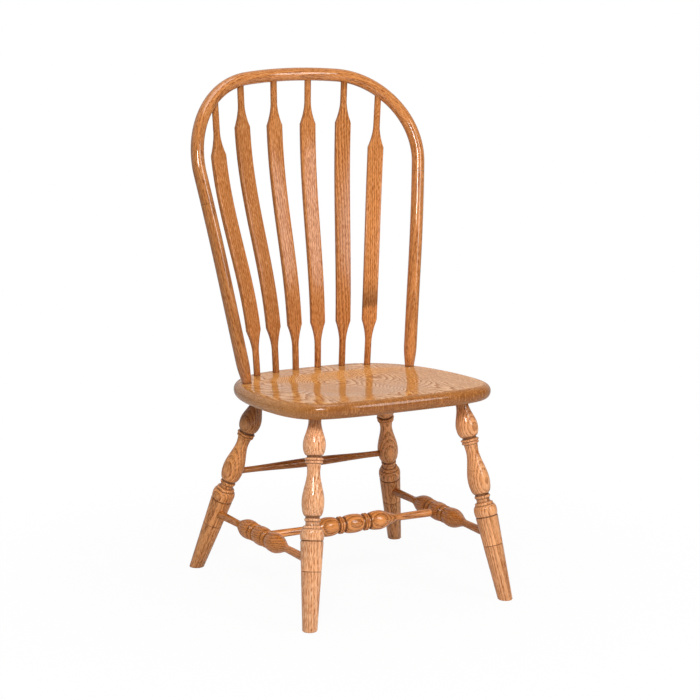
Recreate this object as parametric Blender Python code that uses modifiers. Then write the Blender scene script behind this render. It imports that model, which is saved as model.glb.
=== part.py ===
"""Paddle back dining chair in oak: a saddled seat, four turned legs, a bent bow and six paddle spindles.

Sizes are in metres. The chair faces -Y and stands on Z = 0. Left is -X, as seen from the front.
"""
import math

import bmesh
import bpy
from mathutils import Matrix, Vector
from mathutils.geometry import interpolate_bezier

# Fits between pieces: a bore starts this many tenon depths back from the end of its tenon
CLEARANCE = 0.0003
BORE_REACH = 2.0
BORE_SIDES = 16

# Seat: a plank that slopes down to the back, with a dished top and a rounded edge
SEAT_HEIGHT = 0.4477
SEAT_SLOPE = math.radians(2.94)
SEAT_THICKNESS = 0.0328
SEAT_HALF_WIDTH = 0.2485
SEAT_FRONT_Y = -0.2666
SEAT_WIDEST_SETBACK = 0.1820
SEAT_WIDEST_Y = SEAT_FRONT_Y + SEAT_WIDEST_SETBACK
SEAT_REAR_Y = 0.2279
SEAT_FRONT_REACH = 0.2048
SEAT_CORNER_REACH = 0.1768
SEAT_SIDE_REACH = 0.3392
SEAT_REAR_REACH = 0.0849
SEAT_TOP_ROUND = 0.0155
SEAT_UNDER_ROUND = 0.0160
DISH_DEPTH = 0.012
DISH_SETBACK = 0.3216
DISH_Y = SEAT_FRONT_Y + DISH_SETBACK
DISH_RIM = 0.0465
DISH_HALF_WIDTH = SEAT_HALF_WIDTH - DISH_RIM
DISH_FRONT_REACH = 0.270
DISH_REAR_REACH = 0.080
DISH_SQUARENESS = 2.2
DISH_SOFTNESS = 1.7

# Legs: tops in from the seat's edges and feet splayed out from them, given for the right-hand side
FRONT_LEG_INSET = 0.0760
FRONT_LEG_SETBACK = 0.0838
FRONT_SPLAY = 0.0601
FRONT_RAKE = 0.0929
FRONT_LEG_TOP_X = SEAT_HALF_WIDTH - FRONT_LEG_INSET
FRONT_LEG_TOP_Y = SEAT_FRONT_Y + FRONT_LEG_SETBACK
FRONT_FOOT_X = FRONT_LEG_TOP_X + FRONT_SPLAY
FRONT_FOOT_Y = FRONT_LEG_TOP_Y - FRONT_RAKE
REAR_LEG_INSET = 0.0983
REAR_LEG_SETBACK = 0.1044
REAR_SPLAY = 0.1021
REAR_RAKE = 0.1275
REAR_LEG_TOP_X = SEAT_HALF_WIDTH - REAR_LEG_INSET
REAR_LEG_TOP_Y = SEAT_REAR_Y - REAR_LEG_SETBACK
REAR_FOOT_X = REAR_LEG_TOP_X + REAR_SPLAY
REAR_FOOT_Y = REAR_LEG_TOP_Y + REAR_RAKE
LEG_TENON_DEPTH = 0.0215
FOOT_DIAMETER = 0.0310
FLOOR_BLOCK_SIZE = 4.0 * FOOT_DIAMETER
LEG_NECK_DIAMETER = 0.0268
FRONT_NECK_LENGTH = 0.013
REAR_NECK_LENGTH = 0.022
UPPER_VASE_DIAMETER = 0.0474
UPPER_VASE_TAPER = 0.047
UPPER_VASE_BASE = 0.0225
LEG_REEL_DIAMETER = 0.0298
LEG_REEL_GAP = 0.0035
UPPER_RING_DIAMETER = 0.0392
UPPER_RING_WIDTH = 0.0062
SMALL_RING_DIAMETER = 0.0372
SMALL_RING_WIDTH = 0.0060
WAIST_LENGTH = 0.0154
LOWER_VASE_DIAMETER = 0.0468
LOWER_VASE_TAPER = 0.063
LOWER_VASE_BASE = 0.0298
LOWER_RING_DIAMETER = 0.0340
LOWER_RING_WIDTH = 0.0062
COVE_LENGTH = 0.0085
LIP_DIAMETER = 0.0396
LIP_RISE = 0.0036
LIP_LENGTH = 0.0022
LIP_GROOVE = 0.0006
BEAD_ROOT_DIAMETER = 0.0380
BEAD_DIAMETER = 0.0494
BEAD_SHOULDER = 0.0120
BEAD_BASE_DIAMETER = 0.0454
BEAD_LENGTH = 0.0249
BAND_DIAMETER = 0.0478
SCORE_SPACING = 0.0625
SCORE_DIAMETER = 0.0422
SCORE_DEPTH = 0.0008
SCORE_WIDTH = 0.0018

# Stretchers: heights of their axes above the floor, and their turned motif
SIDE_STRETCHER_FRONT_HEIGHT = 0.1360
SIDE_STRETCHER_REAR_HEIGHT = 0.1300
REAR_STRETCHER_HEIGHT = 0.2275
STRETCHER_TENON_DEPTH = 0.0185
STRETCHER_END_DIAMETER = 0.0175
STRETCHER_END_LENGTH = 0.0370
STRETCHER_WAIST_DIAMETER = 0.0158
BARREL_LENGTH = 0.0425
BARREL_DIAMETER = 0.0415
BARREL_END_DIAMETER = 0.0320
REEL_GROOVE_DIAMETER = 0.0285
REEL_GROOVE_WIDTH = 0.0042
REEL_RING_WIDTH = 0.0052
REEL_RING_DIAMETER = 0.0385
STRETCHER_VASE_DIAMETER = 0.0425
STRETCHER_VASE_SHOULDER = 0.0235
SIDE_VASE_TAPER = 0.056
CENTRE_VASE_TAPER = 0.047
REAR_STRETCHER_DIAMETER = 0.0208
REAR_STRETCHER_END_DIAMETER = 0.0137

# Bow: a three-centred arch that leans back, with feet tapered to tenons right through the seat
BOW_DIAMETER = 0.0286
BOW_FOOT_INSET = 0.0493
BOW_FOOT_SETBACK = 0.1391
BOW_FOOT_X = SEAT_HALF_WIDTH - BOW_FOOT_INSET
BOW_FOOT_Y = SEAT_REAR_Y - BOW_FOOT_SETBACK
BOW_HEIGHT = 0.6606
BOW_FLARE = math.radians(8.22)
BOW_CORNER_RADIUS = 0.1735
BOW_CROWN_RADIUS = 1.2000
BOW_RECLINE = math.radians(13.60)
BOW_WRAP_DEPTH = 0.0223776
BOW_BELLY = 0.0810
BOW_FOOT_SWEEP = 0.0104
BOW_SWEEP_HEIGHT = 0.220
BOW_TENON_DIAMETER = 0.0206
BOW_TAPER_START = 0.004
BOW_TAPER_LENGTH = 0.045

# Spindles: feet evenly spaced between the bow's feet, each pair set in from the seat's rear,
# tops spaced out under the bow, and paddles that end a way below it
SPINDLE_FOOT_INSET = 0.0628
INNER_SETBACK = 0.0266
INNER_TOP_X = 0.0422
INNER_PADDLE_DROP = 0.110
SECOND_SETBACK = 0.0383
SECOND_TOP_X = 0.1276
SECOND_PADDLE_DROP = 0.103
OUTER_SETBACK = 0.0566
OUTER_TOP_X = 0.2002
OUTER_PADDLE_DROP = 0.1265
SPINDLES = (
    (INNER_SETBACK, INNER_TOP_X, INNER_PADDLE_DROP),
    (SECOND_SETBACK, SECOND_TOP_X, SECOND_PADDLE_DROP),
    (OUTER_SETBACK, OUTER_TOP_X, OUTER_PADDLE_DROP),
)
SPINDLE_DIAMETER = 0.0147
SPINDLE_FOOT_DEPTH = 0.0190
SPINDLE_TOP_DEPTH = 0.0040
SPINDLE_FOOT_LENGTH = 0.0505
PADDLE_HEEL_LENGTH = 0.0505
PADDLE_SHOULDER_LENGTH = 0.0505
PADDLE_HOLLOW = 2.1
SPINDLE_STRAIGHT_TOP = 0.048
PADDLE_FOOT_WIDTH = 0.0329
PADDLE_TOP_WIDTH = 0.0350
PADDLE_THICKNESS = 0.0125
PADDLE_SQUARENESS = 6.0

# Wedges that lock the leg and bow tenons
WEDGE_LENGTH = 0.0150
WEDGE_THICKNESS = 0.0030
WEDGE_TIP = 0.0010
WEDGE_SETBACK = 0.0030

# Facets, the step that finds a curve's direction, the weld distance and the angle of a sharp line
LEG_SIDES = 14
STRETCHER_SIDES = 12
SPINDLE_SIDES = 12
CURVE_STEPS = 3
SHORT_CURVE_STEPS = 2
SPINDLE_STEPS = 5
FLARE_STEPS = 4
RING_STEPS = 4
OUTLINE_STEPS = 11
BOW_SIDES_RESOLUTION = 4
BOW_LIMB_STEPS = 8
BOW_CORNER_STEPS = 10
BOW_CROWN_STEPS = 4
SEAT_UNDER_STEPS = 2
SEAT_TOP_STEPS = 3
DISH_RINGS = 4
SHORT_STEP = 0.0005
WELD = 0.00001
SHARP_ANGLE = math.radians(40.0)

# Finish: colour, roughness and metallic value of each kind of piece
FINISHES = {
    "seat_oak": ((0.50, 0.24, 0.09, 1.0), 0.30, 0.0),
    "bow_oak": ((0.48, 0.20, 0.06, 1.0), 0.32, 0.0),
    "spindle_oak": ((0.50, 0.21, 0.06, 1.0), 0.34, 0.0),
    "leg_oak": ((0.52, 0.23, 0.08, 1.0), 0.32, 0.0),
    "stretcher_oak": ((0.50, 0.21, 0.07, 1.0), 0.32, 0.0),
    "wedge_wood": ((0.32, 0.15, 0.06, 1.0), 0.55, 0.0),
}

SIDES = {"left": -1.0, "right": 1.0}


def clear_scene():
    """Remove every object that the file starts with."""
    for item in list(bpy.data.objects):
        bpy.data.objects.remove(item, do_unlink=True)


def make_collection(name):
    """A new collection in the scene."""
    group = bpy.data.collections.new(name)
    bpy.context.scene.collection.children.link(group)
    return group


def make_material(name):
    """A plain finish from the table of finishes."""
    colour, roughness, metallic = FINISHES[name]
    material = bpy.data.materials.new(name)
    material.use_nodes = True
    shader = material.node_tree.nodes["Principled BSDF"]
    shader.inputs["Base Color"].default_value = colour
    shader.inputs["Roughness"].default_value = roughness
    shader.inputs["Metallic"].default_value = metallic
    material.diffuse_color = colour
    return material


clear_scene()
CHAIR = make_collection("paddle_back_chair")
CUTTERS = make_collection("cutters")
MATERIALS = {name: make_material(name) for name in FINISHES}
ORIGIN = bpy.data.objects.new("chair_origin", None)
CHAIR.objects.link(ORIGIN)


def add_piece(name, mesh, finish, place=Matrix()):
    """Put a finished mesh in the chair as one named piece."""
    piece = bpy.data.objects.new(name, mesh)
    piece.matrix_world = place
    piece.parent = ORIGIN
    mesh.materials.append(MATERIALS[finish])
    CHAIR.objects.link(piece)
    return piece


def add_cutter(name, mesh, place=Matrix()):
    """Put a mesh among the cutters, out of the render."""
    cutter = bpy.data.objects.new(name, mesh)
    cutter.matrix_world = place
    cutter.hide_render = True
    cutter.display_type = "WIRE"
    CUTTERS.objects.link(cutter)
    return cutter


def cut(piece, cutter):
    """Take a cutter's shape out of a piece."""
    modifier = piece.modifiers.new(cutter.name, "BOOLEAN")
    modifier.operation = "DIFFERENCE"
    modifier.solver = "EXACT"
    modifier.object = cutter


def axis_frame(origin, direction, across=None):
    """A placement with its Z along a direction and its X as near to across as it can be."""
    up = direction.normalized()
    if across is None:
        across = up.orthogonal()
    side = (across - up * across.dot(up)).normalized()
    basis = Matrix((side, up.cross(side), up)).transposed().to_4x4()
    return Matrix.Translation(origin) @ basis


def mesh_from(bm, name):
    """Close a bmesh into a mesh with its faces pointing out."""
    bmesh.ops.recalc_face_normals(bm, faces=bm.faces[:])
    mesh = bpy.data.meshes.new(name)
    bm.to_mesh(mesh)
    bm.free()
    return mesh


def shade_round(mesh):
    """Shade a round piece smooth, with its sharp lines kept."""
    mesh.shade_smooth()
    mesh.set_sharp_from_angle(angle=SHARP_ANGLE)


def loft(name, rings):
    """A closed skin over rings of points, with a flat cap at each end."""
    bm = bmesh.new()
    loops = [[bm.verts.new(point) for point in ring] for ring in rings]
    count = len(loops[0])
    for lower, upper in zip(loops, loops[1:]):
        for index in range(count):
            following = (index + 1) % count
            bm.faces.new((lower[index], lower[following], upper[following], upper[index]))
    bm.faces.new(loops[0])
    bm.faces.new(loops[-1])
    mesh = mesh_from(bm, name)
    shade_round(mesh)
    return mesh


def bore(name, start, end, diameter):
    """A round cutter from one point to another."""
    length = (end - start).length
    bm = bmesh.new()
    bmesh.ops.create_cone(bm, cap_ends=True, segments=BORE_SIDES, radius1=diameter / 2.0,
                          radius2=diameter / 2.0, depth=length)
    mesh = mesh_from(bm, name)
    return add_cutter(name, mesh, axis_frame((start + end) / 2.0, end - start))


def turned(name, profile, sides, finish, place):
    """A turned piece from a profile of (distance from its start, radius) pairs."""
    rising = [(0.0, profile[0][0])] + [(radius, along) for along, radius in profile]
    rising.append((0.0, profile[-1][0]))
    points = [(radius, 0.0, along) for radius, along in reversed(rising)]
    edges = [(index, index + 1) for index in range(len(points) - 1)]
    mesh = bpy.data.meshes.new(name)
    mesh.from_pydata(points, edges, [])
    piece = add_piece(name, mesh, finish, place)
    screw = piece.modifiers.new("turning", "SCREW")
    screw.axis = "Z"
    screw.angle = math.tau
    screw.steps = sides
    screw.render_steps = sides
    screw.use_merge_vertices = True
    screw.merge_threshold = WELD
    screw.use_smooth_shade = True
    return piece


def ogee(start, end, steps=CURVE_STEPS):
    """Profile points after start of an S-shaped sweep from one (distance, radius) to another."""
    points = []
    for step in range(1, steps + 1):
        share = step / steps
        blend = share * share * (3.0 - 2.0 * share)
        points.append((start[0] + (end[0] - start[0]) * share, start[1] + (end[1] - start[1]) * blend))
    return points


def quarter(wide, narrow, steps=CURVE_STEPS):
    """Profile points of a quarter round that leaves its wide end level, in order towards the narrow end."""
    points = []
    for step in range(1, steps + 1):
        turn = math.pi / 2.0 * step / steps
        points.append((wide[0] + (narrow[0] - wide[0]) * math.sin(turn),
                       narrow[1] + (wide[1] - narrow[1]) * math.cos(turn)))
    return points


def ring(start, width, root, crown, steps=RING_STEPS):
    """Profile points of a half-round ring that stands on a root radius."""
    points = []
    for step in range(steps + 1):
        turn = math.pi * step / steps
        points.append((start + width * (1.0 - math.cos(turn)) / 2.0,
                       root + (crown - root) * math.sin(turn)))
    return points


def score(middle, radius):
    """Profile points of a scored line cut into a turned surface."""
    half = SCORE_WIDTH / 2.0
    return [(middle - half, radius), (middle, radius - SCORE_DEPTH), (middle + half, radius)]


def radius_at(profile, along):
    """Radius of a turned profile at a distance from its start."""
    for (first, low), (second, high) in zip(profile, profile[1:]):
        if first <= along <= second and second > first:
            return low + (high - low) * (along - first) / (second - first)
    return profile[-1][1]


# Seat

def seat_top(y):
    """Height of the flat of the seat's top, before it is dished."""
    return SEAT_HEIGHT - y * math.tan(SEAT_SLOPE)


def seat_under(y):
    """Height of the seat's underside."""
    return seat_top(y) - SEAT_THICKNESS


def dish(x, y):
    """Depth of the dish in the seat's top, which rises gently to the front and steeply to the rear."""
    reach = DISH_REAR_REACH if y > DISH_Y else DISH_FRONT_REACH
    across = abs(x / DISH_HALF_WIDTH) ** DISH_SQUARENESS
    along = abs((y - DISH_Y) / reach) ** DISH_SQUARENESS
    return DISH_DEPTH * max(0.0, 1.0 - across - along) ** DISH_SOFTNESS


def seat_outline():
    """Points of the seat's outline with the outward direction at each, all round from the front."""
    front = Vector((0.0, SEAT_FRONT_Y))
    widest = Vector((SEAT_HALF_WIDTH, SEAT_WIDEST_Y))
    rear = Vector((0.0, SEAT_REAR_Y))
    half = interpolate_bezier(front, front + Vector((SEAT_FRONT_REACH, 0.0)),
                              widest - Vector((0.0, SEAT_CORNER_REACH)), widest, OUTLINE_STEPS)
    half += interpolate_bezier(widest, widest + Vector((0.0, SEAT_SIDE_REACH)),
                               rear + Vector((SEAT_REAR_REACH, 0.0)), rear, OUTLINE_STEPS)[1:]
    points = half + [Vector((-point.x, point.y)) for point in reversed(half[1:-1])]
    outline = []
    for index, point in enumerate(points):
        along = points[(index + 1) % len(points)] - points[index - 1]
        outline.append((point, Vector((along.y, -along.x)).normalized()))
    return outline


def build_seat():
    """The seat plank: rounded under edge, rounded top edge, then rings that sink into the dish."""
    outline = seat_outline()
    rings = []
    for step in range(SEAT_UNDER_STEPS + 1):
        turn = math.pi / 2.0 * (1.0 - step / SEAT_UNDER_STEPS)
        inset = SEAT_UNDER_ROUND * (1.0 - math.cos(turn))
        lift = SEAT_UNDER_ROUND * (1.0 - math.sin(turn))
        flat = [point - outward * inset for point, outward in outline]
        rings.append([Vector((p.x, p.y, seat_under(p.y) + lift)) for p in flat])
    for step in range(SEAT_TOP_STEPS + 1):
        turn = math.pi / 2.0 * step / SEAT_TOP_STEPS
        inset = SEAT_TOP_ROUND * (1.0 - math.cos(turn))
        drop = SEAT_TOP_ROUND * (1.0 - math.sin(turn))
        flat = [point - outward * inset for point, outward in outline]
        rings.append([Vector((p.x, p.y, seat_top(p.y) - drop)) for p in flat])
    # The last ring stays half a step short of the middle of the dish
    middle = Vector((0.0, DISH_Y))
    for step in range(1, DISH_RINGS + 1):
        shrink = 1.0 - step / (DISH_RINGS + 0.5)
        inner = [middle + (p - middle) * shrink for p in flat]
        rings.append([Vector((p.x, p.y, seat_top(p.y) - dish(p.x, p.y))) for p in inner])
    return add_piece("seat", loft("seat", rings), "seat_oak")


# Legs

def leg_profile(length, neck_length):
    """Turned profile of a leg from below the floor to the end of its tenon, by distance from the floor."""
    neck = LEG_NECK_DIAMETER / 2.0
    reel = LEG_REEL_DIAMETER / 2.0
    points = [(-LEG_TENON_DEPTH, neck), (neck_length, neck)]
    vase = (neck_length + UPPER_VASE_TAPER, UPPER_VASE_DIAMETER / 2.0)
    points += ogee(points[-1], vase, CURVE_STEPS + 1)
    points += quarter(vase, (vase[0] + UPPER_VASE_BASE, reel))
    start = points[-1][0] + LEG_REEL_GAP
    points += ring(start, UPPER_RING_WIDTH, reel, UPPER_RING_DIAMETER / 2.0)
    points += ring(points[-1][0], SMALL_RING_WIDTH, reel, SMALL_RING_DIAMETER / 2.0)[1:]
    waist = (points[-1][0] + WAIST_LENGTH, neck)
    points.append(waist)
    vase = (waist[0] + LOWER_VASE_TAPER, LOWER_VASE_DIAMETER / 2.0)
    points += ogee(waist, vase, CURVE_STEPS + 2)
    points += quarter(vase, (vase[0] + LOWER_VASE_BASE, reel))
    start = points[-1][0] + LEG_REEL_GAP
    points += ring(start, LOWER_RING_WIDTH, reel, LOWER_RING_DIAMETER / 2.0)
    cove = (points[-1][0] + COVE_LENGTH, reel)
    points.append(cove)
    lip = (cove[0] + LIP_RISE, LIP_DIAMETER / 2.0)
    points += reversed(quarter(lip, cove, SHORT_CURVE_STEPS)[:-1])
    points += [lip, (lip[0] + LIP_LENGTH, LIP_DIAMETER / 2.0)]
    root = (points[-1][0] + LIP_GROOVE, BEAD_ROOT_DIAMETER / 2.0)
    points.append(root)
    crown = (root[0] + BEAD_SHOULDER, BEAD_DIAMETER / 2.0)
    points += reversed(quarter(crown, root)[:-1])
    points.append(crown)
    upper_score = root[0] + BEAD_LENGTH
    base = (upper_score - SCORE_WIDTH / 2.0, BEAD_BASE_DIAMETER / 2.0)
    points += quarter(crown, base, SHORT_CURVE_STEPS)
    points.append((upper_score, base[1] - SCORE_DEPTH))
    points.append((upper_score + SCORE_WIDTH / 2.0, BAND_DIAMETER / 2.0))
    points += score(upper_score + SCORE_SPACING, SCORE_DIAMETER / 2.0)
    taper = (SCORE_DIAMETER - FOOT_DIAMETER) / 2.0 / (length - upper_score - SCORE_SPACING)
    points.append((length + FOOT_DIAMETER, FOOT_DIAMETER / 2.0 - taper * FOOT_DIAMETER))
    return [(length - below, radius) for below, radius in reversed(points)]


class Leg:
    """One turned leg: where its axis runs, and how thick it is along it."""

    def __init__(self, end, side, foot, top, neck_length):
        sign = SIDES[side]
        self.name = f"leg_{end}_{side}"
        self.wedge_name = f"leg_wedge_{end}_{side}"
        self.foot = Vector((sign * foot[0], foot[1], 0.0))
        self.top = Vector((sign * top[0], top[1], seat_under(top[1])))
        self.direction = (self.top - self.foot).normalized()
        self.length = (self.top - self.foot).length
        self.profile = leg_profile(self.length, neck_length)
        self.tenon_end = self.top + self.direction * LEG_TENON_DEPTH

    def at_height(self, height):
        """Point on the axis at a height above the floor."""
        return self.foot + self.direction * (height / self.direction.z)

    def radius_at_height(self, height):
        """Radius of the leg where its axis has a height above the floor."""
        return radius_at(self.profile, height / self.direction.z)

    def build(self):
        """Turn the leg and cut its foot level with the floor."""
        place = axis_frame(self.foot, self.direction)
        piece = turned(self.name, self.profile, LEG_SIDES, "leg_oak", place)
        cut(piece, floor_cutter(self.name, self.foot))
        return piece


def floor_cutter(name, foot):
    """A block under the floor that levels one foot."""
    bm = bmesh.new()
    bmesh.ops.create_cube(bm, size=FLOOR_BLOCK_SIZE)
    mesh = mesh_from(bm, f"{name}_floor")
    middle = foot - Vector((0.0, 0.0, FLOOR_BLOCK_SIZE / 2.0))
    return add_cutter(f"{name}_floor", mesh, Matrix.Translation(middle))


# Wedges

def wedge_mesh(name, length, breadth, thickness, tip, run_on=0.0):
    """A tapered block with its tip down, its broad end at Z = 0 and an even taper run on above that."""
    bm = bmesh.new()
    bmesh.ops.create_cube(bm, size=1.0)
    slope = (thickness - tip) / length
    for vert in bm.verts:
        above = vert.co.z > 0.0
        depth = thickness + slope * run_on if above else tip
        vert.co = Vector((vert.co.x * breadth, vert.co.y * depth, run_on if above else -length))
    return mesh_from(bm, name)


def lock_with_wedge(piece, name, tenon_end, direction, diameter):
    """Saw a kerf across the end of a tenon and put a wedge in it."""
    place = axis_frame(tenon_end, direction, Vector((0.0, 1.0, 0.0)))
    breadth = diameter - 2.0 * WEDGE_SETBACK
    wedge = wedge_mesh(name, WEDGE_LENGTH, breadth, WEDGE_THICKNESS, WEDGE_TIP)
    add_piece(name, wedge, "wedge_wood", place)
    kerf = wedge_mesh(f"{name}_kerf", WEDGE_LENGTH + CLEARANCE, diameter + 2.0 * WEDGE_SETBACK,
                      WEDGE_THICKNESS + 2.0 * CLEARANCE, WEDGE_TIP + 2.0 * CLEARANCE, WEDGE_SETBACK)
    cut(piece, add_cutter(f"{name}_kerf", kerf, place))


# Stretchers

def stretcher_profile(length, vase_taper):
    """Turned profile of a stretcher: a barrel between ringed reels, a vase on each side and thin ends."""
    ring_root = REEL_GROOVE_DIAMETER / 2.0
    ring_crown = REEL_RING_DIAMETER / 2.0
    half = [(0.0, BARREL_DIAMETER / 2.0)]
    half += quarter(half[0], (BARREL_LENGTH / 2.0, BARREL_END_DIAMETER / 2.0))
    start = BARREL_LENGTH / 2.0 + REEL_GROOVE_WIDTH
    half += ring(start, REEL_RING_WIDTH, ring_root, ring_crown)
    half += ring(half[-1][0], REEL_RING_WIDTH, ring_root, ring_crown)[1:]
    start = half[-1][0] + REEL_GROOVE_WIDTH
    vase = (start + STRETCHER_VASE_SHOULDER, STRETCHER_VASE_DIAMETER / 2.0)
    half.append((start, BARREL_END_DIAMETER / 2.0))
    half += reversed(quarter(vase, half[-1])[:-1])
    half.append(vase)
    waist = (vase[0] + vase_taper, STRETCHER_WAIST_DIAMETER / 2.0)
    half += ogee(vase, waist, CURVE_STEPS + 1)
    half.append((length / 2.0 - STRETCHER_END_LENGTH, STRETCHER_END_DIAMETER / 2.0))
    half.append((length / 2.0, STRETCHER_END_DIAMETER / 2.0))
    mirrored = [(-along, radius) for along, radius in reversed(half[1:])]
    return [(length / 2.0 + along, radius) for along, radius in mirrored + half]


def plain_profile(length):
    """Turned profile of the rear stretcher: a slow swell between thin ends."""
    end = REAR_STRETCHER_END_DIAMETER / 2.0
    middle = (length / 2.0, REAR_STRETCHER_DIAMETER / 2.0)
    start = (STRETCHER_END_LENGTH, end)
    rise = [(0.0, end), start] + ogee(start, middle)
    return rise + [(length - along, radius) for along, radius in reversed(rise[:-1])]


def drill(piece, name, tenon_end, inward, depth, diameter):
    """Bore the blind socket for a tenon that ends inside a piece."""
    start = tenon_end - inward * BORE_REACH * depth
    cut(piece, bore(name, start, tenon_end + inward * CLEARANCE, diameter + 2.0 * CLEARANCE))


def span(first, first_radius, last, last_radius):
    """Start and end of a stretcher whose tenons enter two round pieces at the given axis points."""
    direction = (last - first).normalized()
    start = first + direction * (first_radius - STRETCHER_TENON_DEPTH)
    end = last - direction * (last_radius - STRETCHER_TENON_DEPTH)
    return start, end, direction


def build_stretcher(name, start, end, profile):
    """Turn a stretcher between two points."""
    return turned(name, profile, STRETCHER_SIDES, "stretcher_oak", axis_frame(start, end - start))


# Bow

def bow_arch():
    """Corner and crown of the arch in its own plane: corner centre, crown centre and limb length."""
    foot = Vector((BOW_FOOT_X, 0.0))
    rise = Vector((math.sin(BOW_FLARE), math.cos(BOW_FLARE)))
    inner = Vector((-rise.y, rise.x))
    crown = Vector((0.0, BOW_HEIGHT - BOW_CROWN_RADIUS))
    offset = foot + inner * BOW_CORNER_RADIUS - crown
    along = offset.dot(rise)
    between = BOW_CROWN_RADIUS - BOW_CORNER_RADIUS
    limb = -along + math.sqrt(along ** 2 - offset.length_squared + between ** 2)
    corner = foot + rise * limb + inner * BOW_CORNER_RADIUS
    return corner, crown, limb


def bow_point(x, height):
    """A point of the bow's centre line from its place across and up the arch's plane."""
    share = height / BOW_HEIGHT
    below = max(0.0, 1.0 - height / BOW_SWEEP_HEIGHT)
    sweep = BOW_FOOT_SWEEP * (1.0 - below ** 2)
    lean = height * math.sin(BOW_RECLINE) + sweep - BOW_BELLY * share * (1.0 - share)
    wrap = BOW_WRAP_DEPTH * (1.0 - (x / BOW_FOOT_X) ** 2)
    return Vector((x, BOW_FOOT_Y + lean + wrap, seat_top(BOW_FOOT_Y) + height * math.cos(BOW_RECLINE)))


def arch_half():
    """Points of the right half of the arch in its own plane, from the foot to the crown."""
    corner, crown, limb = bow_arch()
    foot = Vector((BOW_FOOT_X, 0.0))
    rise = Vector((math.sin(BOW_FLARE), math.cos(BOW_FLARE)))
    points = [foot + rise * limb * step / BOW_LIMB_STEPS for step in range(BOW_LIMB_STEPS)]
    join = math.atan2(corner.y - crown.y, corner.x - crown.x)
    for step in range(BOW_CORNER_STEPS):
        turn = -BOW_FLARE + (join + BOW_FLARE) * step / BOW_CORNER_STEPS
        points.append(corner + Vector((math.cos(turn), math.sin(turn))) * BOW_CORNER_RADIUS)
    for step in range(BOW_CROWN_STEPS + 1):
        turn = join + (math.pi / 2.0 - join) * step / BOW_CROWN_STEPS
        points.append(crown + Vector((math.cos(turn), math.sin(turn))) * BOW_CROWN_RADIUS)
    return points


def bow_over(x):
    """The point of the bow's centre line above a place across the back."""
    corner, crown, _ = bow_arch()
    reach = crown + (corner - crown).normalized() * BOW_CROWN_RADIUS
    centre, radius = (crown, BOW_CROWN_RADIUS) if abs(x) <= reach.x else (corner, BOW_CORNER_RADIUS)
    return bow_point(x, centre.y + math.sqrt(radius ** 2 - (abs(x) - centre.x) ** 2))


class BowFoot:
    """One end of the bow: where it meets the seat, which way it runs and where its tenon ends."""

    def __init__(self, side):
        sign = SIDES[side]
        self.top = bow_point(sign * BOW_FOOT_X, 0.0)
        above = bow_point(sign * (BOW_FOOT_X + SHORT_STEP * math.tan(BOW_FLARE)), SHORT_STEP)
        self.direction = (above - self.top).normalized()
        self.tenon_end = self.top - self.direction * (SEAT_THICKNESS / self.direction.z)


def bow_route():
    """Points along the whole bow with the diameter at each, from the left tenon to the right one."""
    half = [(point, BOW_DIAMETER) for point in
            (bow_point(p.x, p.y) for p in arch_half()[1:])]
    foot = BowFoot("right")
    lead = [(foot.tenon_end, BOW_TENON_DIAMETER),
            (foot.top + foot.direction * BOW_TAPER_START, BOW_TENON_DIAMETER),
            (foot.top + foot.direction * (BOW_TAPER_START + BOW_TAPER_LENGTH), BOW_DIAMETER)]
    right = lead + [item for item in half if item[0].z > lead[-1][0].z + BOW_DIAMETER / 2.0]
    left = [(Vector((-point.x, point.y, point.z)), diameter) for point, diameter in right[:-1]]
    return left + right[::-1]


def build_bow():
    """Bend the bow: a round rail along its route, made a mesh so that it can be bored."""
    route = bow_route()
    curve = bpy.data.curves.new("bow_rail", "CURVE")
    curve.dimensions = "3D"
    curve.bevel_depth = BOW_DIAMETER / 2.0
    curve.bevel_resolution = BOW_SIDES_RESOLUTION
    curve.use_fill_caps = True
    spline = curve.splines.new("POLY")
    spline.points.add(len(route) - 1)
    for node, (point, diameter) in zip(spline.points, route):
        node.co = (*point, 1.0)
        node.radius = diameter / BOW_DIAMETER
    rail = bpy.data.objects.new("bow_rail", curve)
    CHAIR.objects.link(rail)
    bpy.context.view_layer.update()
    mesh = bpy.data.meshes.new_from_object(rail.evaluated_get(bpy.context.evaluated_depsgraph_get()))
    place = rail.matrix_world.copy()
    bpy.data.objects.remove(rail, do_unlink=True)
    bm = bmesh.new()
    bm.from_mesh(mesh)
    bmesh.ops.remove_doubles(bm, verts=bm.verts[:], dist=WELD)
    bmesh.ops.recalc_face_normals(bm, faces=bm.faces[:])
    bm.to_mesh(mesh)
    bm.free()
    mesh.materials.clear()
    shade_round(mesh)
    return add_piece("bow", mesh, "bow_oak", place)


# Spindles

def smooth(share):
    """A step from 0 to 1 that leaves and arrives level."""
    return share ** 3 * (10.0 - 15.0 * share + 6.0 * share ** 2)


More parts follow.
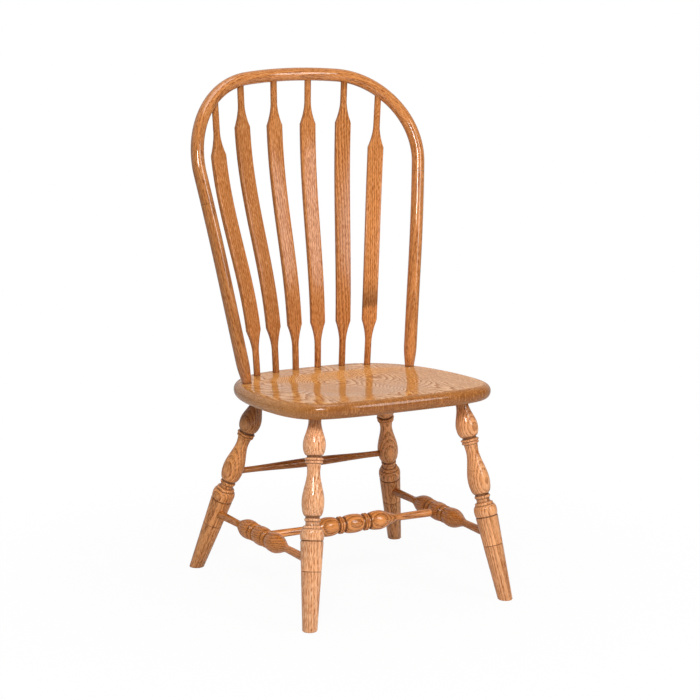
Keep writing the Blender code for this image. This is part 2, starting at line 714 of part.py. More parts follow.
class Spindle:
    """One bent spindle: a round foot, a flat paddle that leans back and a round top in the bow."""

    def __init__(self, number, sign, foot_x, setback, top_x, paddle_drop):
        self.name = f"spindle_{number}"
        foot_y = SEAT_REAR_Y - setback
        self.foot = Vector((sign * foot_x, foot_y, seat_top(foot_y)))
        self.top = bow_over(sign * top_x)
        self.rise = self.top.z - self.foot.z
        self.lean = Vector(((self.top.x - self.foot.x) / 2.0, 0.0, self.rise)).normalized()
        self.tenon_start = self.foot - self.lean * SPINDLE_FOOT_DEPTH
        self.tenon_end = self.top + self.lean * SPINDLE_TOP_DEPTH
        self.paddle_start = SPINDLE_FOOT_LENGTH + PADDLE_HEEL_LENGTH
        self.paddle_end = self.rise - paddle_drop

    def centre(self, height):
        """Point of the bent centre line at a height above the seat."""
        share = height / self.rise
        bend = smooth(min(height / (self.rise - SPINDLE_STRAIGHT_TOP), 1.0))
        across = (self.top.x - self.foot.x) * (share + bend) / 2.0
        back = (self.top.y - self.foot.y) * bend
        return self.foot + Vector((across, back, height))

    def section(self, height):
        """Width, thickness and squareness of the section at a height above the seat."""
        below = (height - SPINDLE_FOOT_LENGTH) / PADDLE_HEEL_LENGTH
        above = (self.paddle_end + PADDLE_SHOULDER_LENGTH - height) / PADDLE_SHOULDER_LENGTH
        flare = min(max(min(below, above), 0.0), 1.0) ** PADDLE_HOLLOW
        share = (height - self.paddle_start) / (self.paddle_end - self.paddle_start)
        paddle = PADDLE_FOOT_WIDTH + (PADDLE_TOP_WIDTH - PADDLE_FOOT_WIDTH) * min(max(share, 0.0), 1.0)
        width = SPINDLE_DIAMETER + (paddle - SPINDLE_DIAMETER) * flare
        thickness = SPINDLE_DIAMETER + (PADDLE_THICKNESS - SPINDLE_DIAMETER) * flare
        return width, thickness, 2.0 + (PADDLE_SQUARENESS - 2.0) * flare

    def ring(self, centre, along, height):
        """Points round the section at a height, square to the centre line, facing as the bow wraps."""
        across = Vector((1.0, -2.0 * BOW_WRAP_DEPTH * centre.x / BOW_FOOT_X ** 2, 0.0))
        place = axis_frame(centre, along, across)
        width, thickness, squareness = self.section(height)
        points = []
        for index in range(SPINDLE_SIDES):
            turn = math.tau * index / SPINDLE_SIDES
            cosine, sine = math.cos(turn), math.sin(turn)
            x = math.copysign(abs(cosine) ** (2.0 / squareness), cosine) * width / 2.0
            y = math.copysign(abs(sine) ** (2.0 / squareness), sine) * thickness / 2.0
            points.append(place @ Vector((x, y, 0.0)))
        return points

    def heights(self):
        """Heights above the seat of the sections that shape the spindle."""
        flare = [step / FLARE_STEPS for step in range(FLARE_STEPS + 1)]
        lower = [SPINDLE_FOOT_LENGTH + PADDLE_HEEL_LENGTH * share for share in flare]
        upper = [self.paddle_end + PADDLE_SHOULDER_LENGTH * share for share in flare]
        blade = self.paddle_end - self.paddle_start
        middle = [self.paddle_start + blade * step / SPINDLE_STEPS for step in range(1, SPINDLE_STEPS)]
        return [SPINDLE_FOOT_LENGTH / 2.0] + lower + middle + upper

    def build(self):
        """Loft the spindle from tenon to tenon."""
        rings = [self.ring(self.tenon_start, self.lean, 0.0), self.ring(self.foot, self.lean, 0.0)]
        for height in self.heights():
            along = self.centre(height + SHORT_STEP) - self.centre(height - SHORT_STEP)
            rings.append(self.ring(self.centre(height), along, height))
        rings.append(self.ring(self.top - self.lean * BOW_DIAMETER, self.lean, self.rise))
        rings.append(self.ring(self.tenon_end, self.lean, self.rise))
        return add_piece(self.name, loft(self.name, rings), "spindle_oak")


# Assembly

def build_understructure(seat):
    """Legs and stretchers, with every socket that they need in the seat and in each other."""
    legs = {}
    pieces = {}
    for side in SIDES:
        legs["front", side] = Leg("front", side, (FRONT_FOOT_X, FRONT_FOOT_Y),
                                  (FRONT_LEG_TOP_X, FRONT_LEG_TOP_Y), FRONT_NECK_LENGTH)
        legs["rear", side] = Leg("rear", side, (REAR_FOOT_X, REAR_FOOT_Y),
                                 (REAR_LEG_TOP_X, REAR_LEG_TOP_Y), REAR_NECK_LENGTH)
    for key, leg in legs.items():
        pieces[key] = leg.build()
        drill(seat, f"{leg.name}_socket", leg.tenon_end, leg.direction, LEG_TENON_DEPTH, LEG_NECK_DIAMETER)
        lock_with_wedge(pieces[key], leg.wedge_name, leg.tenon_end, leg.direction, LEG_NECK_DIAMETER)

    middles = {}
    for side in SIDES:
        front, rear = legs["front", side], legs["rear", side]
        start, end, along = span(front.at_height(SIDE_STRETCHER_FRONT_HEIGHT),
                                 front.radius_at_height(SIDE_STRETCHER_FRONT_HEIGHT),
                                 rear.at_height(SIDE_STRETCHER_REAR_HEIGHT),
                                 rear.radius_at_height(SIDE_STRETCHER_REAR_HEIGHT))
        name = f"side_stretcher_{side}"
        profile = stretcher_profile((end - start).length, SIDE_VASE_TAPER)
        stretcher = build_stretcher(name, start, end, profile)
        middles[side] = (stretcher, (start + end) / 2.0)
        drill(pieces["front", side], f"{name}_front_socket", start, -along,
              STRETCHER_TENON_DEPTH, STRETCHER_END_DIAMETER)
        drill(pieces["rear", side], f"{name}_rear_socket", end, along,
              STRETCHER_TENON_DEPTH, STRETCHER_END_DIAMETER)

    barrel = BARREL_DIAMETER / 2.0
    start, end, along = span(middles["left"][1], barrel, middles["right"][1], barrel)
    profile = stretcher_profile((end - start).length, CENTRE_VASE_TAPER)
    build_stretcher("centre_stretcher", start, end, profile)
    for side, tenon_end, inward in (("left", start, -along), ("right", end, along)):
        drill(middles[side][0], f"centre_stretcher_{side}_socket", tenon_end, inward,
              STRETCHER_TENON_DEPTH, STRETCHER_END_DIAMETER)

    left, right = legs["rear", "left"], legs["rear", "right"]
    radius = left.radius_at_height(REAR_STRETCHER_HEIGHT)
    start, end, along = span(left.at_height(REAR_STRETCHER_HEIGHT), radius,
                             right.at_height(REAR_STRETCHER_HEIGHT), radius)
    build_stretcher("rear_stretcher", start, end, plain_profile((end - start).length))
    for side, tenon_end, inward in (("left", start, -along), ("right", end, along)):
        drill(pieces["rear", side], f"rear_stretcher_{side}_socket", tenon_end, inward,
              STRETCHER_TENON_DEPTH, REAR_STRETCHER_END_DIAMETER)


def build_back(seat):
    """Bow and spindles, with their holes through the seat and sockets in the bow."""
    bow = build_bow()
    for side in SIDES:
        foot = BowFoot(side)
        below = foot.tenon_end - foot.direction * BOW_DIAMETER
        above = foot.top + foot.direction * BOW_DIAMETER
        cut(seat, bore(f"bow_{side}_hole", below, above, BOW_TENON_DIAMETER + 2.0 * CLEARANCE))
        lock_with_wedge(bow, f"bow_wedge_{side}", foot.tenon_end, -foot.direction, BOW_TENON_DIAMETER)

    pairs = len(SPINDLES)
    spacing = 2.0 * (BOW_FOOT_X - SPINDLE_FOOT_INSET) / (2 * pairs - 1)
    for index, sizes in enumerate(SPINDLES):
        for sign, number in ((-1.0, pairs - index), (1.0, pairs + index + 1)):
            spindle = Spindle(number, sign, spacing * (index + 0.5), *sizes)
            spindle.build()
            drill(seat, f"{spindle.name}_foot_socket", spindle.tenon_start, -spindle.lean,
                  SPINDLE_FOOT_DEPTH, SPINDLE_DIAMETER)
            drill(bow, f"{spindle.name}_top_socket", spindle.tenon_end, spindle.lean,
                  BOW_DIAMETER, SPINDLE_DIAMETER)


def main():
    """Build the whole chair."""
    seat = build_seat()
    build_understructure(seat)
    build_back(seat)


main()
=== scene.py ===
"""Looks of the paddle back chair: oak pieces with procedural grain in place of the plain solids.

Sizes are in metres and repeat those of the chair's own source. The chair faces -Y and stands on
Z = 0. Left is -X, as seen from the front.
"""

import logging
import math
from collections.abc import Callable
from dataclasses import asdict, dataclass, replace
from enum import Enum

import bmesh
import bpy
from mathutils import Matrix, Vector
from mathutils.geometry import interpolate_bezier


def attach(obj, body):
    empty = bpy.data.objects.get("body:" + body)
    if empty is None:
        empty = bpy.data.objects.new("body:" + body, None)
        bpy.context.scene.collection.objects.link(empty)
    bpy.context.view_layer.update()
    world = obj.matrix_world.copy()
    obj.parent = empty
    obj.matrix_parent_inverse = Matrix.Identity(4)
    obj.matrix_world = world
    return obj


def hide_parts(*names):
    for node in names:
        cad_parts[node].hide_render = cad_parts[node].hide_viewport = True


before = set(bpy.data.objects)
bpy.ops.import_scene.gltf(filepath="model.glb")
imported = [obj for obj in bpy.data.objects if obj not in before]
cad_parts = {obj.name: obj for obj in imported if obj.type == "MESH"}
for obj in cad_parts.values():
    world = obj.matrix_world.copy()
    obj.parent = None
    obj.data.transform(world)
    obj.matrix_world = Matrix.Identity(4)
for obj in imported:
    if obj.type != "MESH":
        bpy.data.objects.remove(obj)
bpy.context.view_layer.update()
LOG = logging.getLogger("paddle_back_chair")

Span = tuple[float, float]
Triple = tuple[float, float, float]
Colour = tuple[float, float, float, float]

# Where the camera stands round the chair. The timber of turned rods is laid out from that side
AZIMUTH = math.radians(-27.58)
ELEVATION = math.radians(11.03)
TOWARDS_CAMERA = Vector((math.sin(AZIMUTH) * math.cos(ELEVATION),
                         -math.cos(AZIMUTH) * math.cos(ELEVATION), math.sin(ELEVATION)))

SHORT_STEP = 0.0005
SHARP_ANGLE = math.radians(38.0)
WHITE = (1.0, 1.0, 1.0, 1.0)

# How far the stain at a joint reaches along a rod, and how much of it there is
JOINT_REACH = 0.004
JOINT_STAIN = 0.8


class Side(Enum):
    """A side of the chair, seen from the front, with its sign along X."""

    LEFT = -1.0
    RIGHT = 1.0

    @property
    def word(self) -> str:
        """The side's name in piece names."""
        return self.name.lower()


class End(Enum):
    """The front or the rear pair of legs."""

    FRONT = "front"
    REAR = "rear"


def shares(steps: int) -> list[float]:
    """Equal shares from 0 to 1."""
    return [step / steps for step in range(steps + 1)]


def quarters(steps: int) -> list[Span]:
    """Sine and cosine at equal steps of a quarter turn."""
    turns = [math.pi / 2.0 * share for share in shares(steps)]
    return [(math.sin(turn), math.cos(turn)) for turn in turns]


def clamped(share: float) -> float:
    """A share held between 0 and 1."""
    return min(max(share, 0.0), 1.0)


def between(first: float, last: float, share: float) -> float:
    """The size at a share of the way from a first one to a last one."""
    return first + (last - first) * share


def eased(share: float) -> float:
    """A share that starts and ends level and without a bend: the quintic smooth step."""
    return share ** 3 * (10.0 - 15.0 * share + 6.0 * share ** 2)


def add_object(name: str, data: bpy.types.ID) -> bpy.types.Object:
    """Put a new object into the scene.

    Args:
        name: The object's name.
        data: Its mesh, lamp or camera.

    Returns:
        The object.
    """
    made = bpy.data.objects.new(name, data)
    bpy.context.scene.collection.objects.link(made)
    return made


# Node graphs

def arithmetic(operation: str,
               reflected: bool = False) -> "Callable[[Value, Value | float], Value]":
    """An arithmetic method of a value.

    Args:
        operation: The Math node's operation.
        reflected: True where the other term stands in front.

    Returns:
        The method.
    """
    def method(self: "Value", other: "Value | float") -> "Value":
        """The value worked out with another term, by a Math node."""
        return self.graph.math(operation, *((other, self) if reflected else (self, other)))
    return method


class Value:
    """A number in a node graph: arithmetic on it adds Math nodes."""

    __add__, __radd__ = arithmetic("ADD"), arithmetic("ADD", True)
    __sub__, __rsub__ = arithmetic("SUBTRACT"), arithmetic("SUBTRACT", True)
    __mul__, __rmul__ = arithmetic("MULTIPLY"), arithmetic("MULTIPLY", True)
    __truediv__, __rtruediv__ = arithmetic("DIVIDE"), arithmetic("DIVIDE", True)
    __pow__ = arithmetic("POWER")

    def __init__(self, graph: "Graph", socket: bpy.types.NodeSocket) -> None:
        """Wrap one output socket of a graph."""
        self.graph = graph
        self.socket = socket


Entry = Value | float | int | str | tuple | bool


class Graph:
    """Adds nodes to one node tree."""

    def __init__(self, tree: bpy.types.NodeTree) -> None:
        """Keep the tree that nodes are added to."""
        self.tree = tree

    def feed(self, node: bpy.types.Node, sockets: dict[str | int, Entry]) -> None:
        """Link values to a node's input sockets, or set plain entries on them.

        Args:
            node: The node.
            sockets: Values and plain entries, by the name or place of their socket.
        """
        for key, entry in sockets.items():
            if isinstance(entry, Value):
                self.tree.links.new(entry.socket, node.inputs[key])
            else:
                node.inputs[key].default_value = entry

    def node(self, kind: str, settings: dict[str, object] | None = None,
             sockets: dict[str | int, Entry] | None = None) -> bpy.types.Node:
        """Add one node.

        Args:
            kind: The node's type.
            settings: Properties of the node, set before its sockets.
            sockets: Values and plain entries of its input sockets.

        Returns:
            The new node.
        """
        made = self.tree.nodes.new(kind)
        for name, setting in (settings or {}).items():
            setattr(made, name, setting)
        self.feed(made, sockets or {})
        return made

    def value(self, kind: str, settings: dict[str, object] | None = None,
              sockets: dict[str | int, Entry] | None = None, output: str | int = 0) -> Value:
        """Add one node and wrap one of its outputs, given by name or place."""
        return Value(self, self.node(kind, settings, sockets).outputs[output])

    def math(self, operation: str, *terms: Value | float) -> Value:
        """A Math node on its terms."""
        return self.value("ShaderNodeMath", {"operation": operation}, dict(enumerate(terms)))

    def vector(self, operation: str, *terms: Entry) -> Value:
        """A Vector Math node on its terms."""
        return self.value("ShaderNodeVectorMath", {"operation": operation}, dict(enumerate(terms)))

    def scaled(self, vector: Value, factor: Value) -> Value:
        """A vector times a number."""
        return self.value("ShaderNodeVectorMath", {"operation": "SCALE"},
                          {0: vector, "Scale": factor})

    def parts(self, vector: Value) -> tuple[Value, Value, Value]:
        """The three components of a vector."""
        split = self.node("ShaderNodeSeparateXYZ", None, {0: vector})
        return tuple(Value(self, output) for output in split.outputs)

    def joined(self, x: Value, y: Value, z: Value) -> Value:
        """A vector from three components."""
        return self.value("ShaderNodeCombineXYZ", None, {0: x, 1: y, 2: z})

    def place(self) -> Value:
        """The place on the piece, in metres."""
        return self.value("ShaderNodeTexCoord", None, None, "Object")

    def attribute(self, name: str, output: str = "Fac") -> Value:
        """An attribute of the piece's own mesh."""
        return self.value("ShaderNodeAttribute", {"attribute_name": name}, None, output)

    def rays(self) -> tuple[Value, Value]:
        """Whether the camera looks at a place, and whether something glossy mirrors it."""
        path = self.node("ShaderNodeLightPath").outputs
        return Value(self, path["Is Camera Ray"]), Value(self, path["Is Glossy Ray"])

    def ramp(self, value: Value, low: float, high: float) -> Value:
        """A smooth step of a value from 0 at low to 1 at high."""
        return self.value("ShaderNodeMapRange", {"interpolation_type": "SMOOTHSTEP"},
                          {"Value": value, "From Min": low, "From Max": high})

    def noise(self, vector: Value, sizes: Triple, detail: float = 1.0) -> Value:
        """Noise about 0.5, with the size in metres of its blotches along each axis."""
        stretched = self.vector("DIVIDE", vector, sizes)
        return self.value("ShaderNodeTexNoise", None,
                          {"Vector": stretched, "Scale": 1.0, "Detail": detail})

    def blend(self, factor: Value | float, first: Entry, second: Entry, mode: str = "MIX") -> Value:
        """A mix of two colours, with the share of the second one."""
        settings = {"data_type": "RGBA", "blend_type": mode, "clamp_factor": True}
        return self.value("ShaderNodeMix", settings, {0: factor, 6: first, 7: second}, 2)


def new_material(name: str) -> tuple[bpy.types.Material, Graph, bpy.types.Node]:
    """Start a material.

    Args:
        name: The material's name.

    Returns:
        The material, its graph and its shader.
    """
    made = bpy.data.materials.new(name)
    made.use_nodes = True
    return made, Graph(made.node_tree), made.node_tree.nodes["Principled BSDF"]


# Finishes

@dataclass(frozen=True)
class OakFinish:
    """Lacquered oak: growth rings about a pith, pores along the grain, flecks that are rays and
    painted glints, and stain and painted shade in hollows.

    The pith is where the heart of the tree lies across, towards the face and along the rod. The
    piece's grain attribute holds the place from there. A range is where a smooth step of a noise
    starts and ends.
    """

    name: str
    pith: Triple = (0.0, 0.0, 0.0)
    pale: Colour = (0.66, 0.255, 0.075, 1.0)
    dark: Colour = (0.27, 0.080, 0.017, 1.0)
    stain_and_shade: Colour = (0.075, 0.024, 0.008, 1.0)
    stain_and_shade_depth: float = 0.85
    ring_width: float = 0.0040
    ring_tilt: float = 0.030
    ring_depth: float = 1.10
    ring_rise: float = 0.16
    ring_fade: float = 1.6
    ring_whole: float = 0.50
    wobble: float = 0.0030
    wobble_size: float = 0.040
    wobble_stretch: float = 5.0
    dash_width: float = 0.0011
    dash_length: float = 0.016
    dash_range: Span = (0.48, 0.66)
    dash_depth: float = 0.35
    pore_width: float = 0.0006
    pore_length: float = 0.008
    pore_range: Span = (0.50, 0.68)
    pore_depth: float = 0.45
    late_pores: float = 0.30
    # Pale flecks: partly the oak's rays, partly painted glints on the lacquer
    fleck_and_glint: Colour = (0.86, 0.50, 0.22, 1.0)
    fleck_and_glint_range: Span = (0.42, 0.30)
    fleck_and_glint_depth: float = 0.35
    streak_size: Triple = (0.0030, 0.0030, 0.16)
    streak_depth: float = 0.40
    tone_size: Triple = (0.020, 0.020, 0.22)
    tone_depth: float = 0.16
    roughness: float = 0.45
    pore_roughness: float = 0.18
    streak_roughness: float = 0.10
    coat: float = 0.90
    coat_loss: float = 0.45
    ring_loss: float = 0.0
    coat_roughness: float = 0.11
    relief: float = 0.20
    relief_depth: float = 0.0004

    def grain(self, graph: Graph) -> Value:
        """The place in the timber, in metres from the pith and along the grain."""
        return graph.attribute("grain", "Vector")

    def hollow(self, graph: Graph) -> Value:
        """How dark a place is made, from 0 to 1: in turned grooves and creases, at joints, and in
        the painted shade down a spindle's foot.
        """
        return graph.attribute("hollow")

    def tone(self, graph: Graph, grain: Value) -> Value:
        """How light or dark the timber is at large, about 1."""
        broad = graph.noise(grain, self.tone_size, 2.0)
        return 1.0 + (broad - 0.5) * (2.0 * self.tone_depth)

    def cut(self, graph: Graph, timber: Value) -> Value:
        """The timber's colour, changed where the saw cut across the grain: nowhere on a rod."""
        return timber

    def lacquer(self, graph: Graph) -> Value | float:
        """How much lacquer lies on the timber."""
        return self.coat

    def early_wood(self, graph: Graph, grain: Value) -> Value:
        """Growth rings: a dark line of early wood that starts sharply and fades outwards.

        Args:
            graph: The material's graph.
            grain: The place in the timber.

        Returns:
            How much early wood there is, from 0 to 1.
        """
        across, deep, along = graph.parts(grain)
        size = self.wobble_size
        sway = graph.noise(grain, (size, size, size * self.wobble_stretch), 2.0) - 0.5
        distance = graph.math("SQRT", across * across + deep * deep)
        reach = distance + along * self.ring_tilt + sway * self.wobble
        phase = graph.math("FRACT", reach / self.ring_width)
        return graph.ramp(phase, 0.0, self.ring_rise) * (1.0 - phase) ** self.ring_fade

    def material(self) -> bpy.types.Material:
        """Build the finish.

        Returns:
            The new material.
        """
        made, graph, shader = new_material(self.name)
        grain = self.grain(graph)
        early = self.early_wood(graph, grain)
        broken = graph.noise(grain, (self.dash_width, self.dash_width, self.dash_length))
        dashes = graph.ramp(broken, *self.dash_range)
        fine = graph.noise(grain, (self.pore_width, self.pore_width, self.pore_length))
        pores = graph.ramp(fine, *self.pore_range)
        pores = pores * (self.late_pores + (1.0 - self.late_pores) * early)
        streak = graph.noise(grain, self.streak_size) - 0.5
        lines = early * (self.ring_whole + (1.0 - self.ring_whole) * dashes)
        depth = (lines * self.ring_depth + dashes * self.dash_depth + pores * self.pore_depth
                 + streak * self.streak_depth)
        timber = graph.blend(depth, self.pale, self.dark)
        # Pale flecks between the dashes: partly rays, partly painted glints
        flecks_and_glints = graph.ramp(broken, *self.fleck_and_glint_range) * self.fleck_and_glint_depth
        timber = graph.blend(flecks_and_glints, timber, self.fleck_and_glint)
        tone = self.tone(graph, grain)
        timber = graph.blend(1.0, timber, graph.joined(tone, tone, tone), "MULTIPLY")
        timber = self.cut(graph, timber)
        # Stain at joints, darker grooves and creases, and painted shade down the spindles' feet
        timber = graph.blend(self.hollow(graph) * self.stain_and_shade_depth, timber, self.stain_and_shade)
        coat = self.lacquer(graph) * (1.0 - dashes * self.coat_loss)
        coat = coat * (1.0 - early * self.ring_loss)
        bump = graph.value("ShaderNodeBump", None, {
            "Strength": self.relief, "Distance": self.relief_depth, "Height": 1.0 - pores})
        rough = self.roughness + pores * self.pore_roughness + streak * self.streak_roughness
        graph.feed(shader, {"Base Color": timber, "Roughness": rough, "Coat Weight": coat,
                            "Normal": bump, "Coat Roughness": self.coat_roughness,
                            "Specular IOR Level": 0.0})
        return made


@dataclass(frozen=True)
class BowFinish(OakFinish):
    """Lacquered oak of the bow, with a butt seam in each limb.

    The seams and the dark limb are given by their distance from the left tenon's end.
    """

    pith: Triple = (0.020, -0.055, 0.0)
    dash_length: float = 0.010
    dash_depth: float = 0.45
    pore_depth: float = 0.55
    coat: float = 1.0
    coat_loss: float = 0.15
    coat_roughness: float = 0.06
    seams: Span = (0.4275, 1.321)
    seam_width: float = 0.0012
    seam_core: float = 0.4
    seam_depth: float = 0.55
    dark_limb: Span = (0.75, 0.45)
    limb_depth: float = 0.22

    def tone(self, graph: Graph, grain: Value) -> Value:
        """How light or dark the timber is, about 1 but for the darker left limb."""
        limb = graph.ramp(graph.parts(grain)[2], *self.dark_limb)
        return super().tone(graph, grain) * (1.0 - limb * self.limb_depth)

    def hollow(self, graph: Graph) -> Value:
        """The joints at the feet and the two seams.

        Args:
            graph: The material's graph.

        Returns:
            How much stain there is, from 0 to 1.
        """
        along = graph.parts(self.grain(graph))[2]
        near = super().hollow(graph)
        for place in self.seams:
            away = graph.math("ABSOLUTE", along - place)
            seam = graph.ramp(away, self.seam_width, self.seam_core * self.seam_width)
            near = near + seam * self.seam_depth
        return near


@dataclass(frozen=True)
class PatchedFinish(OakFinish):
    """Lacquered oak with one dark patch across it that ends sharply below and fades upwards."""

    patch_start: float = 0.0
    patch_edge: float = 0.004
    patch_core: float = 0.010
    patch_length: float = 0.065
    patch_depth: float = 0.45
    rag_size: Triple = (0.006, 0.006, 10.0)
    rag_depth: float = 0.030

    def tone(self, graph: Graph, grain: Value) -> Value:
        """How light or dark the timber is, about 1 but for the patch.

        Args:
            graph: The material's graph.
            grain: The place in the timber.

        Returns:
            The tone.
        """
        ragged = graph.noise(grain, self.rag_size) - 0.5
        above = graph.parts(grain)[2] - self.patch_start + ragged * self.rag_depth
        patch = graph.ramp(above, 0.0, self.patch_edge)
        patch = patch * graph.ramp(above, self.patch_length, self.patch_core)
        return super().tone(graph, grain) * (1.0 - patch * self.patch_depth)


@dataclass(frozen=True)
class LegFinish(OakFinish):
    """Lacquered oak of a leg, with a painted shadow of the seat over its neck and painted light
    that grows towards the foot.
    """

    ring_depth: float = 1.30
    dash_depth: float = 0.50
    dash_length: float = 0.012
    coat_loss: float = 0.60
    ring_loss: float = 0.45
    coat_roughness: float = 0.10
    painted_shadow_length: float = 0.045
    painted_shadow_depth: float = 0.40
    painted_light_reach: Span = (0.20, 0.44)
    painted_foot_light: float = 0.15

    def tone(self, graph: Graph, grain: Value) -> Value:
        """How light or dark the timber is, about 1 but for the painted shadow on the neck and the
        painted light towards the foot.

        Args:
            graph: The material's graph.
            grain: The place in the timber.

        Returns:
            The tone.
        """
        below = graph.parts(grain)[2] + self.pith[2]
        # Painted shadow of the seat, darkest where the leg meets it
        near = graph.ramp(below, self.painted_shadow_length, 0.0) * self.painted_shadow_depth
        # Painted light, stronger towards the foot
        low = graph.ramp(below, *self.painted_light_reach) * self.painted_foot_light
        return super().tone(graph, grain) * (1.0 - near + low)


@dataclass(frozen=True)
class StretcherFinish(OakFinish):
    """Lacquered oak of a stretcher, with strong rings."""

    ring_depth: float = 1.30
    dash_depth: float = 0.40
    coat: float = 0.75


@dataclass(frozen=True)
class SeatFinish(OakFinish):
    """Lacquered oak of the seat: boards glued edge to edge, with the grain from front to back."""

    pale: Colour = (0.82, 0.385, 0.104, 1.0)
    dark: Colour = (0.35, 0.125, 0.033, 1.0)
    ring_width: float = 0.0012
    ring_depth: float = 2.0
    wobble: float = 0.0024
    wobble_size: float = 0.022
    coat: float = 0.95
    ring_loss: float = 0.85
    coat_roughness: float = 0.14
    board_width: float = 0.190
    board_start: float = -0.515
    board_seed: float = 0.37
    board_tone: float = 0.14
    board_shift: float = 3.0
    pith_level: float = 0.44
    pith_depth: float = 0.250
    pith_spread: float = 0.5
    glue_range: Span = (0.992, 1.0)
    glue_depth: float = 0.35
    # Painted sheen on the right end of the seat
    painted_right_sheen: float = 0.16
    # Darker edge: end grain that takes more stain, and painted shade on the rims and long-grain
    # sides
    end_grain_and_shade: Colour = (0.37, 0.255, 0.20, 1.0)
    end_grain_and_shade_depth: float = 0.90
    ray: Colour = (0.66, 0.29, 0.085, 1.0)
    ray_size: Triple = (0.0024, 0.0024, 0.040)
    ray_range: Span = (0.50, 0.64)
    ray_depth: float = 0.40

    def board(self, graph: Graph) -> tuple[Value, Value, Value, Value]:
        """The board at a place.

        Args:
            graph: The material's graph.

        Returns:
            The board's own random value, and the place in it across, up and along.
        """
        x, y, z = graph.parts(graph.place())
        count = (x - self.board_start) / self.board_width
        number = graph.math("FLOOR", count)
        chance = graph.value("ShaderNodeTexWhiteNoise", {"noise_dimensions": "1D"},
                             {"W": number + self.board_seed})
        return chance, (count - number - 0.5) * self.board_width, z, y

    def grain(self, graph: Graph) -> Value:
        """The place in the board's timber, whose pith lies under it.

        Args:
            graph: The material's graph.

        Returns:
            The place across, up and along.
        """
        chance, across, up, along = self.board(graph)
        shift = (chance - 0.5) * self.pith_spread * self.board_width
        deep = up - self.pith_level + self.pith_depth * (1.0 + chance)
        return graph.joined(across - shift, deep, along + chance * self.board_shift)

    def hollow(self, graph: Graph) -> Value:
        """The glue line between two boards."""
        edge = graph.math("ABSOLUTE", self.board(graph)[1]) / (0.5 * self.board_width)
        return graph.ramp(edge, *self.glue_range) * self.glue_depth

    def tone(self, graph: Graph, grain: Value) -> Value:
        """How light or dark the board is, about 1, with a painted sheen that lightens the seat
        towards its right end.

        Args:
            graph: The material's graph.
            grain: The place in the timber.

        Returns:
            The tone.
        """
        board = (self.board(graph)[0] - 0.5) * self.board_tone
        # Painted sheen, growing over the right half of the seat
        right = graph.ramp(graph.parts(graph.place())[0], 0.0, 0.5 * self.board_width)
        return super().tone(graph, grain) + board + right * self.painted_right_sheen

    def ends(self, graph: Graph) -> Value:
        """How far a place lies on the dark edge, from 0 to 1: end grain, with painted shade on the
        rims and sides.
        """
        return graph.attribute("end_grain_and_shade")

    def cut(self, graph: Graph, timber: Value) -> Value:
        """The timber's colour, darker on end grain and in the edge's painted shade, where the rays
        are upright lines.

        Args:
            graph: The material's graph.
            timber: The colour before.

        Returns:
            The colour after.
        """
        ends = self.ends(graph)
        rays = graph.ramp(graph.noise(graph.place(), self.ray_size), *self.ray_range)
        timber = graph.blend(ends * self.end_grain_and_shade_depth, timber, self.end_grain_and_shade, "MULTIPLY")
        return graph.blend(ends * rays * self.ray_depth, timber, self.ray)

    def lacquer(self, graph: Graph) -> Value:
        """How much lacquer lies on the timber: the end grain takes more coats."""
        return self.coat + self.ends(graph) * (1.0 - self.coat)


@dataclass(frozen=True)
class WedgeFinish:
    """Bare hard wood of the wedges: straight pale grain without lacquer."""

    name: str = "wedge_bare_wood"
    pale: Colour = (0.40, 0.20, 0.085, 1.0)
    dark: Colour = (0.22, 0.10, 0.038, 1.0)
    line_size: Triple = (0.0006, 0.0006, 0.010)
    line_range: Span = (0.35, 0.65)
    roughness: float = 0.58
    line_roughness: float = 0.20
    relief: float = 0.30
    relief_depth: float = 0.0002

    def material(self) -> bpy.types.Material:
        """Build the finish.

        Returns:
            The new material.
        """
        made, graph, shader = new_material(self.name)
        lines = graph.noise(graph.place(), self.line_size, 2.0)
        bump = graph.value("ShaderNodeBump", None, {
            "Strength": self.relief, "Distance": self.relief_depth, "Height": lines})
        timber = graph.blend(graph.ramp(lines, *self.line_range), self.pale, self.dark)
        rough = self.roughness + (lines - 0.5) * self.line_roughness
        graph.feed(shader, {"Base Color": timber, "Roughness": rough, "Normal": bump})
        return made


# Rods swept along a line

@dataclass(frozen=True)
class Station:
    """One section of a rod: its middle, two directions, sizes and place along the grain."""

    centre: Vector
    across: Vector
    facing: Vector
    half_width: float
    half_depth: float
    along: float
    hollow: float = 0.0
    squareness: float = 2.0


